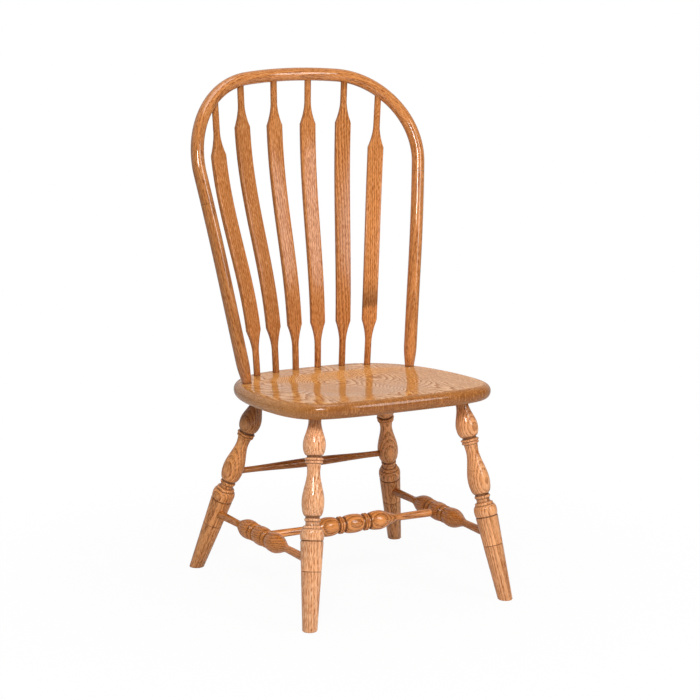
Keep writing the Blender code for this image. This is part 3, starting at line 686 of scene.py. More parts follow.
class RodSweep:
    """A Geometry Nodes tree that skins a chain of stations with a round to square section."""

    INPUTS = {"Geometry": "NodeSocketGeometry", "Sides": "NodeSocketInt",
              "Pith": "NodeSocketVector", "Finish": "NodeSocketMaterial"}
    VECTORS = ("centre", "across", "facing")
    NUMBERS = ("half_width", "half_depth", "along", "hollow", "squareness")

    def __init__(self) -> None:
        """Build the tree."""
        self.tree = bpy.data.node_groups.new("swept_rod", "GeometryNodeTree")
        face = self.tree.interface
        for name, kind in self.INPUTS.items():
            face.new_socket(name, in_out="INPUT", socket_type=kind)
        face.new_socket("Geometry", in_out="OUTPUT", socket_type="NodeSocketGeometry")
        graph = Graph(self.tree)
        entry = graph.node("NodeGroupInput")
        line, sides, pith, finish = (Value(graph, entry.outputs[name]) for name in self.INPUTS)
        rail = graph.value("GeometryNodeMeshToCurve", None, {"Mesh": line})
        circle = graph.value("GeometryNodeCurvePrimitiveCircle", None,
                             {"Resolution": sides, "Radius": 1.0})
        circle = self.keep(graph, circle, "rim", graph.value("GeometryNodeInputPosition"))
        skin = graph.value("GeometryNodeCurveToMesh", None,
                           {"Curve": rail, "Profile Curve": circle, "Fill Caps": True})
        rim, centre, across, facing = (self.read(graph, name, "FLOAT_VECTOR")
                                       for name in ("rim", *self.VECTORS))
        x, y, _ = graph.parts(rim)
        power = 2.0 / self.read(graph, "squareness")
        wide = self.rounded(graph, x, power) * self.read(graph, "half_width")
        deep = self.rounded(graph, y, power) * self.read(graph, "half_depth")
        offset = graph.vector("ADD", graph.scaled(across, wide), graph.scaled(facing, deep))
        spot = graph.vector("ADD", centre, offset)
        place = graph.joined(wide, deep, self.read(graph, "along"))
        skin = self.keep(graph, skin, "grain", graph.vector("SUBTRACT", place, pith))
        for kind, sockets in (("SetPosition", {"Position": spot}), ("SetShadeSmooth", {}),
                              ("RealizeInstances", {}), ("SetMaterial", {"Material": finish})):
            skin = graph.value(f"GeometryNode{kind}", None, {"Geometry": skin, **sockets})
        graph.node("NodeGroupOutput", None, {"Geometry": skin})

    @staticmethod
    def read(graph: Graph, name: str, kind: str = "FLOAT") -> Value:
        """A named attribute of the geometry."""
        return graph.value("GeometryNodeInputNamedAttribute", {"data_type": kind}, {"Name": name})

    @staticmethod
    def keep(graph: Graph, geometry: Value, name: str, vector: Value) -> Value:
        """The geometry with a vector stored on its points under a name."""
        return graph.value("GeometryNodeStoreNamedAttribute",
                           {"data_type": "FLOAT_VECTOR", "domain": "POINT"},
                           {"Geometry": geometry, "Name": name, "Value": vector})

    @staticmethod
    def rounded(graph: Graph, place: Value, power: Value) -> Value:
        """A place on the unit circle moved to a rounded square, with its sign kept."""
        return graph.math("SIGN", place) * graph.math("ABSOLUTE", place) ** power

    def piece(self, name: str, stations: list[Station], sides: int, finish: OakFinish,
              node: str, slot: str) -> None:
        """Skin one rod, make it a plain mesh and let it stand for its solid.

        Args:
            name: The piece's name.
            stations: The rod's sections in order.
            sides: How many points go round a section.
            finish: The rod's timber.
            node: The solid that it replaces.
            slot: Not used.
        """
        chain = bpy.data.meshes.new(name)
        links = [(index, index + 1) for index in range(len(stations) - 1)]
        chain.from_pydata([station.centre for station in stations], links, [])
        for label in self.VECTORS:
            parts = [part for station in stations for part in getattr(station, label)]
            chain.attributes.new(label, "FLOAT_VECTOR", "POINT").data.foreach_set("vector", parts)
        for label in self.NUMBERS:
            numbers = [getattr(station, label) for station in stations]
            chain.attributes.new(label, "FLOAT", "POINT").data.foreach_set("value", numbers)
        made = add_object(name, chain)
        sweep = made.modifiers.new("sweep", "NODES")
        sweep.node_group = self.tree
        entries = {"Sides": sides, "Pith": Vector(finish.pith), "Finish": finish.material()}
        for socket in self.tree.interface.items_tree:
            if socket.in_out == "INPUT" and socket.name in entries:
                sweep[socket.identifier] = entries[socket.name]
        bpy.context.view_layer.update()
        graph = bpy.context.evaluated_depsgraph_get()
        skin = bpy.data.meshes.new_from_object(made.evaluated_get(graph))
        made.modifiers.remove(sweep)
        made.data = skin
        bpy.data.meshes.remove(chain)
        face_outwards(skin)
        skin.set_sharp_from_angle(angle=SHARP_ANGLE)
        show(made, node)


def face_outwards(mesh: bpy.types.Mesh) -> None:
    """Turn a closed mesh's faces outwards.

    Args:
        mesh: The mesh, which is changed.
    """
    bm = bmesh.new()
    bm.from_mesh(mesh)
    if bm.calc_volume(signed=True) < 0.0:
        bmesh.ops.reverse_faces(bm, faces=bm.faces[:])
    bm.to_mesh(mesh)
    bm.free()


def show(piece: bpy.types.Object, node: str) -> None:
    """Let a piece stand for a solid of the frame.

    Args:
        piece: The finished piece.
        node: The solid that it replaces.
    """
    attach(piece, "root")
    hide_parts(node)
    LOG.info("%s: %d faces", piece.name, len(piece.data.polygons))


# Turned profiles

class Turning:
    """A turned profile drawn from one end, as (distance, radius, hollow) points.

    The hollow says how much darker the timber is in a groove or crease, from 0 to 1.
    """

    OGEE_STEPS = 18
    ROUND_STEPS = 12
    RING_STEPS = 12
    DARK_GAIN = 6.0
    FALL_START = 5.2
    SWELL_DARK = 0.8
    COVE_DARK = (0.35, 0.25)
    SCORE_SHARES = (0.35, 0.30, 0.35)
    SCORE_DARK = (1.0, 1.0, 0.15)

    def __init__(self, along: float, diameter: float) -> None:
        """Start the profile at a distance, with a diameter."""
        self.points: list[Triple] = [(along, diameter / 2.0, 0.0)]

    @property
    def along(self) -> float:
        """Distance reached so far."""
        return self.points[-1][0]

    @property
    def radius(self) -> float:
        """Radius reached so far."""
        return self.points[-1][1]

    def trace(self, length: float, path: list[Triple]) -> None:
        """Add points as shares of a length, each with its radius and hollow."""
        start = self.along
        self.points += [(start + length * share, radius, hollow) for share, radius, hollow in path]

    def line(self, length: float, diameter: float, hollow: float = 0.0) -> None:
        """Go straight to a new diameter."""
        self.trace(length, [(1.0, diameter / 2.0, hollow)])

    def ogee(self, length: float, diameter: float) -> None:
        """An S-shaped sweep to a new diameter."""
        first, last = self.radius, diameter / 2.0
        self.trace(length, [(share, between(first, last, share * share * (3.0 - 2.0 * share)), 0.0)
                            for share in shares(self.OGEE_STEPS)[1:]])

    def fall(self, length: float, diameter: float) -> None:
        """A quarter round that leaves level and drops to a smaller diameter."""
        first, last = self.radius, diameter / 2.0
        self.trace(length, [(sine, between(last, first, cosine),
                             max(0.0, sine * self.DARK_GAIN - self.FALL_START))
                            for sine, cosine in quarters(self.ROUND_STEPS)[1:]])

    def swell(self, length: float, diameter: float) -> None:
        """A quarter round that rises steeply and arrives level at a larger diameter."""
        first, last = self.radius, diameter / 2.0
        self.trace(length, [(1.0 - cosine, between(first, last, sine),
                             max(0.0, self.SWELL_DARK - self.DARK_GAIN * (1.0 - cosine)))
                            for sine, cosine in quarters(self.ROUND_STEPS)[1:]])

    def ring(self, width: float, diameter: float) -> None:
        """A half-round ring that stands on the radius reached so far."""
        root, crown = self.radius, diameter / 2.0
        self.trace(width, [((1.0 - math.cos(turn)) / 2.0, between(root, crown, math.sin(turn)),
                            (1.0 - math.sin(turn)) ** 2)
                           for turn in (math.pi * share for share in shares(self.RING_STEPS)[1:])])

    def cove(self, length: float, depth: float) -> None:
        """A hollow sweep back to the same radius."""
        root, (middle, change) = self.radius, self.COVE_DARK
        self.trace(length, [(share, root - depth * math.sin(math.pi * share),
                             middle + change * math.cos(math.tau * share))
                            for share in shares(self.ROUND_STEPS)[1:]])

    def score(self, width: float, depth: float, diameter: float) -> None:
        """A scored line that ends at a given diameter."""
        bottom = 2.0 * (self.radius - depth)
        for share, end, stain_and_shade in zip(self.SCORE_SHARES, (bottom, bottom, diameter),
                                     self.SCORE_DARK):
            self.line(width * share, end, stain_and_shade)


def rod_frame(direction: Vector) -> tuple[Vector, Vector]:
    """The directions across a rod and towards the camera, both square to it."""
    facing = (TOWARDS_CAMERA - direction * TOWARDS_CAMERA.dot(direction)).normalized()
    return facing.cross(direction), facing


def turned_stations(start: Vector, direction: Vector, points: list[Triple]) -> list[Station]:
    """The stations of a turned rod.

    Args:
        start: Where the profile's distance is 0.
        direction: Unit vector along the rod.
        points: Distance, radius and hollow along the turned profile.

    Returns:
        One station for each point.
    """
    across, facing = rod_frame(direction)
    return [Station(start + direction * along, across, facing, radius, radius, along, hollow)
            for along, radius, hollow in points]


# Seat

@dataclass(frozen=True)
class Seat:
    """The seat plank: slopes down to the back, with a dished top and a rounded edge."""

    height: float = 0.4477
    slope: float = math.radians(2.94)
    thickness: float = 0.0328
    half_width: float = 0.2485
    front_y: float = -0.2666
    widest_y: float = -0.0846
    rear_y: float = 0.2279
    front_reach: float = 0.2048
    corner_reach: float = 0.1768
    side_reach: float = 0.3392
    rear_reach: float = 0.0849
    top_round: float = 0.0155
    under_round: float = 0.0160
    dish_depth: float = 0.012
    dish_y: float = 0.055
    dish_half_width: float = 0.202
    dish_front_reach: float = 0.270
    dish_rear_reach: float = 0.080
    dish_squareness: float = 2.2
    dish_softness: float = 1.7
    # How far the darker edge reaches up the roundings and along the long-grain sides, as painted
    # shade
    end_grain_and_shade_fade: float = 0.3
    side_end_grain_and_shade: float = 0.35
    outline_steps: int = 44
    edge_steps: int = 9
    dish_rings: int = 40
    finish: SeatFinish = SeatFinish("seat_lacquered_oak")

    def top(self, y: float) -> float:
        """Height of the flat of the top, before it is dished."""
        return self.height - y * math.tan(self.slope)

    def under(self, y: float) -> float:
        """Height of the underside."""
        return self.top(y) - self.thickness

    def dish(self, x: float, y: float) -> float:
        """Depth of the dish in the top.

        Args:
            x: Place across the seat.
            y: Place towards the back.

        Returns:
            The depth.
        """
        reach = self.dish_rear_reach if y > self.dish_y else self.dish_front_reach
        across = abs(x / self.dish_half_width) ** self.dish_squareness
        along = abs((y - self.dish_y) / reach) ** self.dish_squareness
        return self.dish_depth * max(0.0, 1.0 - across - along) ** self.dish_softness

    def outline(self) -> list[tuple[Vector, Vector]]:
        """Points of the outline with the outward direction at each.

        Returns:
            Pairs of point and direction, all round from the front.
        """
        front = Vector((0.0, self.front_y))
        widest = Vector((self.half_width, self.widest_y))
        rear = Vector((0.0, self.rear_y))
        half = interpolate_bezier(front, front + Vector((self.front_reach, 0.0)),
                                  widest - Vector((0.0, self.corner_reach)), widest,
                                  self.outline_steps)
        half += interpolate_bezier(widest, widest + Vector((0.0, self.side_reach)),
                                   rear + Vector((self.rear_reach, 0.0)), rear,
                                   self.outline_steps)[1:]
        points = half + [Vector((-point.x, point.y)) for point in reversed(half[1:-1])]
        pairs = []
        for index, point in enumerate(points):
            along = points[(index + 1) % len(points)] - points[index - 1]
            pairs.append((point, Vector((along.y, -along.x)).normalized()))
        return pairs

    def rings(self) -> list[list[Vector]]:
        """Rings of points from the underside, round the edge and into the dish.

        Returns:
            The rings, each all round the seat.
        """
        outline = self.outline()
        turns = quarters(self.edge_steps)
        edge = [(self.under, self.under_round, 1.0, turn) for turn in reversed(turns)]
        edge += [(self.top, self.top_round, -1.0, turn) for turn in turns]
        rings = []
        for level, radius, sign, (sine, cosine) in edge:
            inset, rise = radius * (1.0 - cosine), sign * radius * (1.0 - sine)
            flat = [point - outward * inset for point, outward in outline]
            rings.append([Vector((p.x, p.y, level(p.y) + rise)) for p in flat])
        middle = Vector((0.0, self.dish_y))
        for step in range(1, self.dish_rings + 1):
            shrink = 1.0 - step / (self.dish_rings + 0.5)
            inner = [middle + (p - middle) * shrink for p in flat]
            rings.append([Vector((p.x, p.y, self.top(p.y) - self.dish(p.x, p.y))) for p in inner])
        return rings

    def end_grain_and_shade(self) -> list[float]:
        """How far each point of the rings lies on the dark edge: end grain, with painted shade on
        the rims and sides.

        Returns:
            A share from 0 to 1 for each point.
        """
        upright = [sine ** self.end_grain_and_shade_fade for sine, _ in quarters(self.edge_steps)]
        upright += upright[::-1] + [0.0] * self.dish_rings
        across = [between(self.side_end_grain_and_shade, 1.0, abs(outward.y))
                  for _, outward in self.outline()]
        return [share * cut for share in upright for cut in across]

    def build(self) -> None:
        """Skin the rings, dress the plank and let it stand for its solid."""
        bm = bmesh.new()
        loops = [[bm.verts.new(point) for point in ring] for ring in self.rings()]
        count = len(loops[0])
        for lower, upper in zip(loops, loops[1:]):
            for index in range(count):
                following = (index + 1) % count
                bm.faces.new((lower[index], lower[following], upper[following], upper[index]))
        bm.faces.new(loops[0])
        bm.faces.new(loops[-1])
        bmesh.ops.recalc_face_normals(bm, faces=bm.faces[:])
        mesh = bpy.data.meshes.new("seat_plank")
        bm.to_mesh(mesh)
        bm.free()
        layer = mesh.attributes.new("end_grain_and_shade", "FLOAT", "POINT")
        layer.data.foreach_set("value", self.end_grain_and_shade())
        mesh.shade_smooth()
        mesh.set_sharp_from_angle(angle=SHARP_ANGLE)
        mesh.materials.append(self.finish.material())
        show(add_object("seat_plank", mesh), "seat")


# Legs

@dataclass(frozen=True)
class Leg:
    """One turned leg: where it stands, its turned sizes and its timber."""

    seat: Seat
    end: End
    side: Side
    foot_place: Span
    top_place: Span
    neck_length: float
    finish: LegFinish
    tenon_depth: float = 0.0215
    foot_diameter: float = 0.0310
    foot_chamfer: float = 0.0012
    foot_darkening: float = 0.3
    neck_diameter: float = 0.0268
    neck_stain: float = 0.9
    upper_vase_diameter: float = 0.0474
    upper_vase_taper: float = 0.047
    upper_vase_base: float = 0.0225
    reel_diameter: float = 0.0298
    reel_gap: float = 0.0035
    upper_ring_diameter: float = 0.0392
    upper_ring_width: float = 0.0062
    small_ring_diameter: float = 0.0372
    small_ring_width: float = 0.0060
    waist_step: float = 0.0012
    waist_length: float = 0.0154
    lower_vase_diameter: float = 0.0468
    lower_vase_taper: float = 0.063
    lower_vase_base: float = 0.0298
    lower_ring_diameter: float = 0.0340
    lower_ring_width: float = 0.0062
    cove_length: float = 0.0085
    cove_depth: float = 0.0007
    lip_diameter: float = 0.0396
    lip_rise: float = 0.0036
    lip_length: float = 0.0022
    lip_groove: float = 0.0006
    bead_root_diameter: float = 0.0380
    bead_diameter: float = 0.0494
    bead_shoulder: float = 0.0120
    bead_base_diameter: float = 0.0454
    bead_length: float = 0.0249
    band_diameter: float = 0.0478
    score_spacing: float = 0.0625
    score_diameter: float = 0.0422
    score_depth: float = 0.0008
    score_width: float = 0.0018
    sides: int = 56

    @property
    def name(self) -> str:
        """Name of the solid that the leg stands for."""
        return f"leg_{self.end.value}_{self.side.word}"

    @property
    def foot(self) -> Vector:
        """Where the axis meets the floor."""
        return Vector((self.side.value * self.foot_place[0], self.foot_place[1], 0.0))

    @property
    def top(self) -> Vector:
        """Where the axis meets the seat's underside."""
        x, y = self.top_place
        return Vector((self.side.value * x, y, self.seat.under(y)))

    @property
    def direction(self) -> Vector:
        """Unit vector down the leg."""
        return (self.foot - self.top).normalized()

    def at_height(self, height: float) -> Vector:
        """Point of the axis at a height above the floor."""
        return self.foot + self.direction * (height / self.direction.z)

    def profile(self) -> list[Triple]:
        """The turned profile from the end of the tenon down to just above the floor.

        Returns:
            Distance from the seat, radius and hollow at each point.
        """
        turning = Turning(-self.tenon_depth, self.neck_diameter)
        turning.line(self.tenon_depth, self.neck_diameter, self.neck_stain)
        turning.line(JOINT_REACH, self.neck_diameter)
        turning.line(self.neck_length - JOINT_REACH, self.neck_diameter)
        turning.ogee(self.upper_vase_taper, self.upper_vase_diameter)
        turning.fall(self.upper_vase_base, self.reel_diameter)
        turning.line(self.reel_gap, self.reel_diameter, 1.0)
        turning.ring(self.upper_ring_width, self.upper_ring_diameter)
        turning.ring(self.small_ring_width, self.small_ring_diameter)
        turning.line(self.waist_step, self.reel_diameter)
        turning.line(self.waist_length - self.waist_step, self.neck_diameter)
        turning.ogee(self.lower_vase_taper, self.lower_vase_diameter)
        turning.fall(self.lower_vase_base, self.reel_diameter)
        turning.line(self.reel_gap, self.reel_diameter, 1.0)
        turning.ring(self.lower_ring_width, self.lower_ring_diameter)
        turning.cove(self.cove_length, self.cove_depth)
        turning.swell(self.lip_rise, self.lip_diameter)
        turning.line(self.lip_length, self.lip_diameter)
        turning.line(self.lip_groove, self.bead_root_diameter, 1.0)
        turning.swell(self.bead_shoulder, self.bead_diameter)
        turning.fall(self.bead_length - self.bead_shoulder - self.score_width / 2.0,
                     self.bead_base_diameter)
        turning.score(self.score_width, self.score_depth, self.band_diameter)
        turning.line(self.score_spacing - self.score_width, self.score_diameter)
        turning.score(self.score_width, self.score_depth, self.score_diameter)
        return turning.points

    def radius_at_height(self, height: float) -> float:
        """Radius of the leg where its axis has a height above the floor.

        Args:
            height: The height.

        Returns:
            The radius.
        """
        length, foot = (self.foot - self.top).length, self.foot_diameter / 2.0
        below = length + height / self.direction.z
        points = self.profile() + [(length, foot, 0.0)]
        for (first, low, _), (second, high, _) in zip(points, points[1:]):
            if first <= below <= second and second > first:
                return between(low, high, (below - first) / (second - first))
        return foot

    def foot_stations(self) -> list[Station]:
        """The level foot with its chamfer: sections slid along the axis to a level plane.

        Returns:
            The two stations.
        """
        down = self.direction
        level = [side - down * (side.z / down.z) for side in rod_frame(down)]
        radius = self.foot_diameter / 2.0
        stations = []
        for height, girth in ((self.foot_chamfer, radius), (0.0, radius - self.foot_chamfer)):
            centre = self.at_height(height)
            along = (centre - self.top).length
            stations.append(Station(centre, *level, girth, girth, along, self.foot_darkening))
        return stations

    def build(self, sweep: RodSweep) -> None:
        """Turn the leg, dress it and let it stand for its solid."""
        stations = turned_stations(self.top, self.direction, self.profile()) + self.foot_stations()
        sweep.piece(f"turned_{self.name}", stations, self.sides, self.finish, self.name, "leg_oak")


# Stretchers

@dataclass(frozen=True)
class Stretcher:
    """A turned stretcher: a barrel between ringed reels, a vase on each side and thin ends."""

    name: str
    first: Vector
    first_radius: float
    last: Vector
    last_radius: float
    vase_taper: float
    finish: StretcherFinish
    tenon_depth: float = 0.0185
    end_diameter: float = 0.0175
    end_length: float = 0.0370
    waist_diameter: float = 0.0158
    barrel_length: float = 0.0425
    barrel_diameter: float = 0.0415
    barrel_end_diameter: float = 0.0320
    groove_diameter: float = 0.0285
    groove_width: float = 0.0042
    groove_wall: float = 0.0004
    wall_dark: float = 0.9
    groove_dark: Span = (0.35, 0.8)
    ring_width: float = 0.0052
    ring_diameter: float = 0.0385
    vase_diameter: float = 0.0425
    vase_shoulder: float = 0.0235
    sides: int = 48

    @property
    def direction(self) -> Vector:
        """Unit vector along the stretcher."""
        return (self.last - self.first).normalized()

    @property
    def start(self) -> Vector:
        """End of the first tenon."""
        return self.first + self.direction * (self.first_radius - self.tenon_depth)

    @property
    def stop(self) -> Vector:
        """End of the last tenon."""
        return self.last - self.direction * (self.last_radius - self.tenon_depth)

    @property
    def middle(self) -> Vector:
        """Middle of the axis."""
        return (self.start + self.stop) / 2.0

    @property
    def half_length(self) -> float:
        """Half the length from tenon end to tenon end."""
        return (self.stop - self.start).length / 2.0

    def shaped(self) -> Turning:
        """The turned profile from the middle to the thin end.

        Returns:
            The profile.
        """
        turning = Turning(0.0, self.barrel_diameter)
        groove, half = self.groove_diameter, self.groove_width / 2.0
        near, deep = self.groove_dark
        turning.fall(self.barrel_length / 2.0, self.barrel_end_diameter)
        turning.line(self.groove_wall, groove, self.wall_dark)
        turning.line(half - self.groove_wall, groove, near)
        turning.line(half, groove, deep)
        turning.ring(self.ring_width, self.ring_diameter)
        turning.ring(self.ring_width, self.ring_diameter)
        turning.line(half, groove, near)
        turning.line(half - self.groove_wall, groove, deep)
        turning.line(self.groove_wall, self.barrel_end_diameter, self.wall_dark)
        turning.swell(self.vase_shoulder, self.vase_diameter)
        turning.ogee(self.vase_taper, self.waist_diameter)
        turning.line(self.half_length - self.end_length - turning.along, self.end_diameter)
        return turning

    def profile(self) -> list[Triple]:
        """The whole profile with its ends and tenons, the same on both sides of the middle.

        Returns:
            Distance from the middle, radius and hollow at each point.
        """
        turning = self.shaped()
        turning.line(self.end_length - self.tenon_depth - JOINT_REACH, self.end_diameter)
        turning.line(JOINT_REACH, self.end_diameter, JOINT_STAIN)
        turning.line(self.tenon_depth, self.end_diameter)
        half = turning.points
        return [(-along, radius, hollow) for along, radius, hollow in reversed(half[1:])] + half

    def build(self, sweep: RodSweep) -> None:
        """Turn the stretcher, dress it and let it stand for its solid."""
        stations = turned_stations(self.middle, self.direction, self.profile())
        sweep.piece(f"turned_{self.name}", stations, self.sides, self.finish, self.name,
                    "stretcher_oak")


@dataclass(frozen=True)
class PlainStretcher(Stretcher):
    """The rear stretcher: a slow swell between thin ends."""

    swell_diameter: float = 0.0208
    end_diameter: float = 0.0137

    def shaped(self) -> Turning:
        """The slow swell from the middle to the thin end.

        Returns:
            The profile.
        """
        turning = Turning(0.0, self.swell_diameter)
        turning.ogee(self.half_length - self.end_length, self.end_diameter)
        return turning


@dataclass(frozen=True)
class Understructure:
    """The four legs and the stretchers between them."""

    seat: Seat
    front_foot: Span = (0.2326, -0.2757)
    front_top: Span = (0.1725, -0.1828)
    rear_foot: Span = (0.2523, 0.2510)
    rear_top: Span = (0.1502, 0.1235)
    front_neck: float = 0.013
    rear_neck: float = 0.022
    side_front_height: float = 0.1360
    side_rear_height: float = 0.1300
    rear_height: float = 0.2275
    side_vase_taper: float = 0.056
    centre_vase_taper: float = 0.047
    leg_oak: tuple[tuple[End, Side, LegFinish], ...] = (
        (End.FRONT, Side.LEFT, LegFinish(
            "leg_oak_front_left", pith=(-0.052, -0.020, 0.10), pale=(0.98, 0.50, 0.25, 1.0),
            dark=(0.42, 0.14, 0.045, 1.0), fleck_and_glint=(1.0, 0.76, 0.52, 1.0), fleck_and_glint_depth=0.6,
            ring_tilt=0.012, wobble=0.0015)),
        (End.FRONT, Side.RIGHT, LegFinish(
            "leg_oak_front_right", pith=(-0.0292, -0.0292, 0.45), pale=(0.85, 0.40, 0.172, 1.0),
            dark=(0.36, 0.115, 0.033, 1.0), fleck_and_glint=(0.96, 0.62, 0.34, 1.0), fleck_and_glint_depth=0.4,
            dash_depth=0.20, ring_depth=1.5, wobble=0.0020)),
        # Rear legs: the left one has a longer, deeper painted shadow of the seat, and neither gets
        # painted light at the foot
        (End.REAR, Side.LEFT, LegFinish(
            "leg_oak_rear_left", pith=(0.022, -0.036, 0.80), pale=(0.90, 0.385, 0.125, 1.0),
            dark=(0.30, 0.093, 0.023, 1.0), painted_shadow_length=0.15, painted_shadow_depth=0.65, painted_foot_light=0.0)),
        (End.REAR, Side.RIGHT, LegFinish(
            "leg_oak_rear_right", pith=(-0.008, -0.0368, 1.30), pale=(0.86, 0.375, 0.135, 1.0),
            dark=(0.24, 0.080, 0.022, 1.0), painted_foot_light=0.0)),
    )
    side_oak: tuple[tuple[Side, StretcherFinish], ...] = (
        (Side.LEFT, StretcherFinish("stretcher_oak_left", pith=(0.050, -0.020, 1.0),
                                    pale=(0.69, 0.245, 0.052, 1.0))),
        (Side.RIGHT, StretcherFinish("stretcher_oak_right", pith=(0.050, -0.020, 3.0),
                                     pale=(0.49, 0.178, 0.040, 1.0))),
    )
    centre_oak: StretcherFinish = StretcherFinish(
        "stretcher_oak_centre", pith=(0.0, -0.0288, 4.0), pale=(0.84, 0.335, 0.097, 1.0),
        ring_depth=1.7, dash_depth=0.25, coat=0.90)
    rear_oak: StretcherFinish = StretcherFinish(
        "stretcher_oak_rear", pith=(0.012, -0.050, 5.0), pale=(0.46, 0.170, 0.040, 1.0))

    def legs(self) -> dict[tuple[End, Side], Leg]:
        """The legs by end and side, each with its own timber."""
        places = {End.FRONT: (self.front_foot, self.front_top, self.front_neck),
                  End.REAR: (self.rear_foot, self.rear_top, self.rear_neck)}
        return {(end, side): Leg(self.seat, end, side, *places[end], oak)
                for end, side, oak in self.leg_oak}

    def side_stretcher(self, front: Leg, rear: Leg, oak: StretcherFinish) -> Stretcher:
        """The stretcher between a front and a rear leg, with its timber."""
        near, far = self.side_front_height, self.side_rear_height
        return Stretcher(f"side_stretcher_{front.side.word}",
                         front.at_height(near), front.radius_at_height(near),
                         rear.at_height(far), rear.radius_at_height(far),
                         self.side_vase_taper, oak)

    def build(self, sweep: RodSweep) -> None:
        """Build the legs and the stretchers.

        Args:
            sweep: Skins the rods.
        """
        legs = self.legs()
        left, right = (self.side_stretcher(legs[End.FRONT, side], legs[End.REAR, side], oak)
                       for side, oak in self.side_oak)
        barrel = left.barrel_diameter / 2.0
        centre = Stretcher("centre_stretcher", left.middle, barrel, right.middle, barrel,
                           self.centre_vase_taper, self.centre_oak)
        first, last = legs[End.REAR, Side.LEFT], legs[End.REAR, Side.RIGHT]
        radius = first.radius_at_height(self.rear_height)
        rear = PlainStretcher("rear_stretcher", first.at_height(self.rear_height), radius,
                              last.at_height(self.rear_height), radius, 0.0, self.rear_oak)
        for rod in (*legs.values(), left, right, centre, rear):
            rod.build(sweep)


# Bow and spindles

def arc(centre: Vector, radius: float, first: float, last: float, steps: int) -> list[Vector]:
    """Points of a flat arc at equal steps.

    Args:
        centre: Its centre.
        radius: Its radius.
        first: Angle at which it starts.
        last: Angle at which it ends.
        steps: How many steps it has.

    Returns:
        The points, with both ends.
    """
    turns = [between(first, last, share) for share in shares(steps)]
    return [centre + Vector((math.cos(turn), math.sin(turn))) * radius for turn in turns]


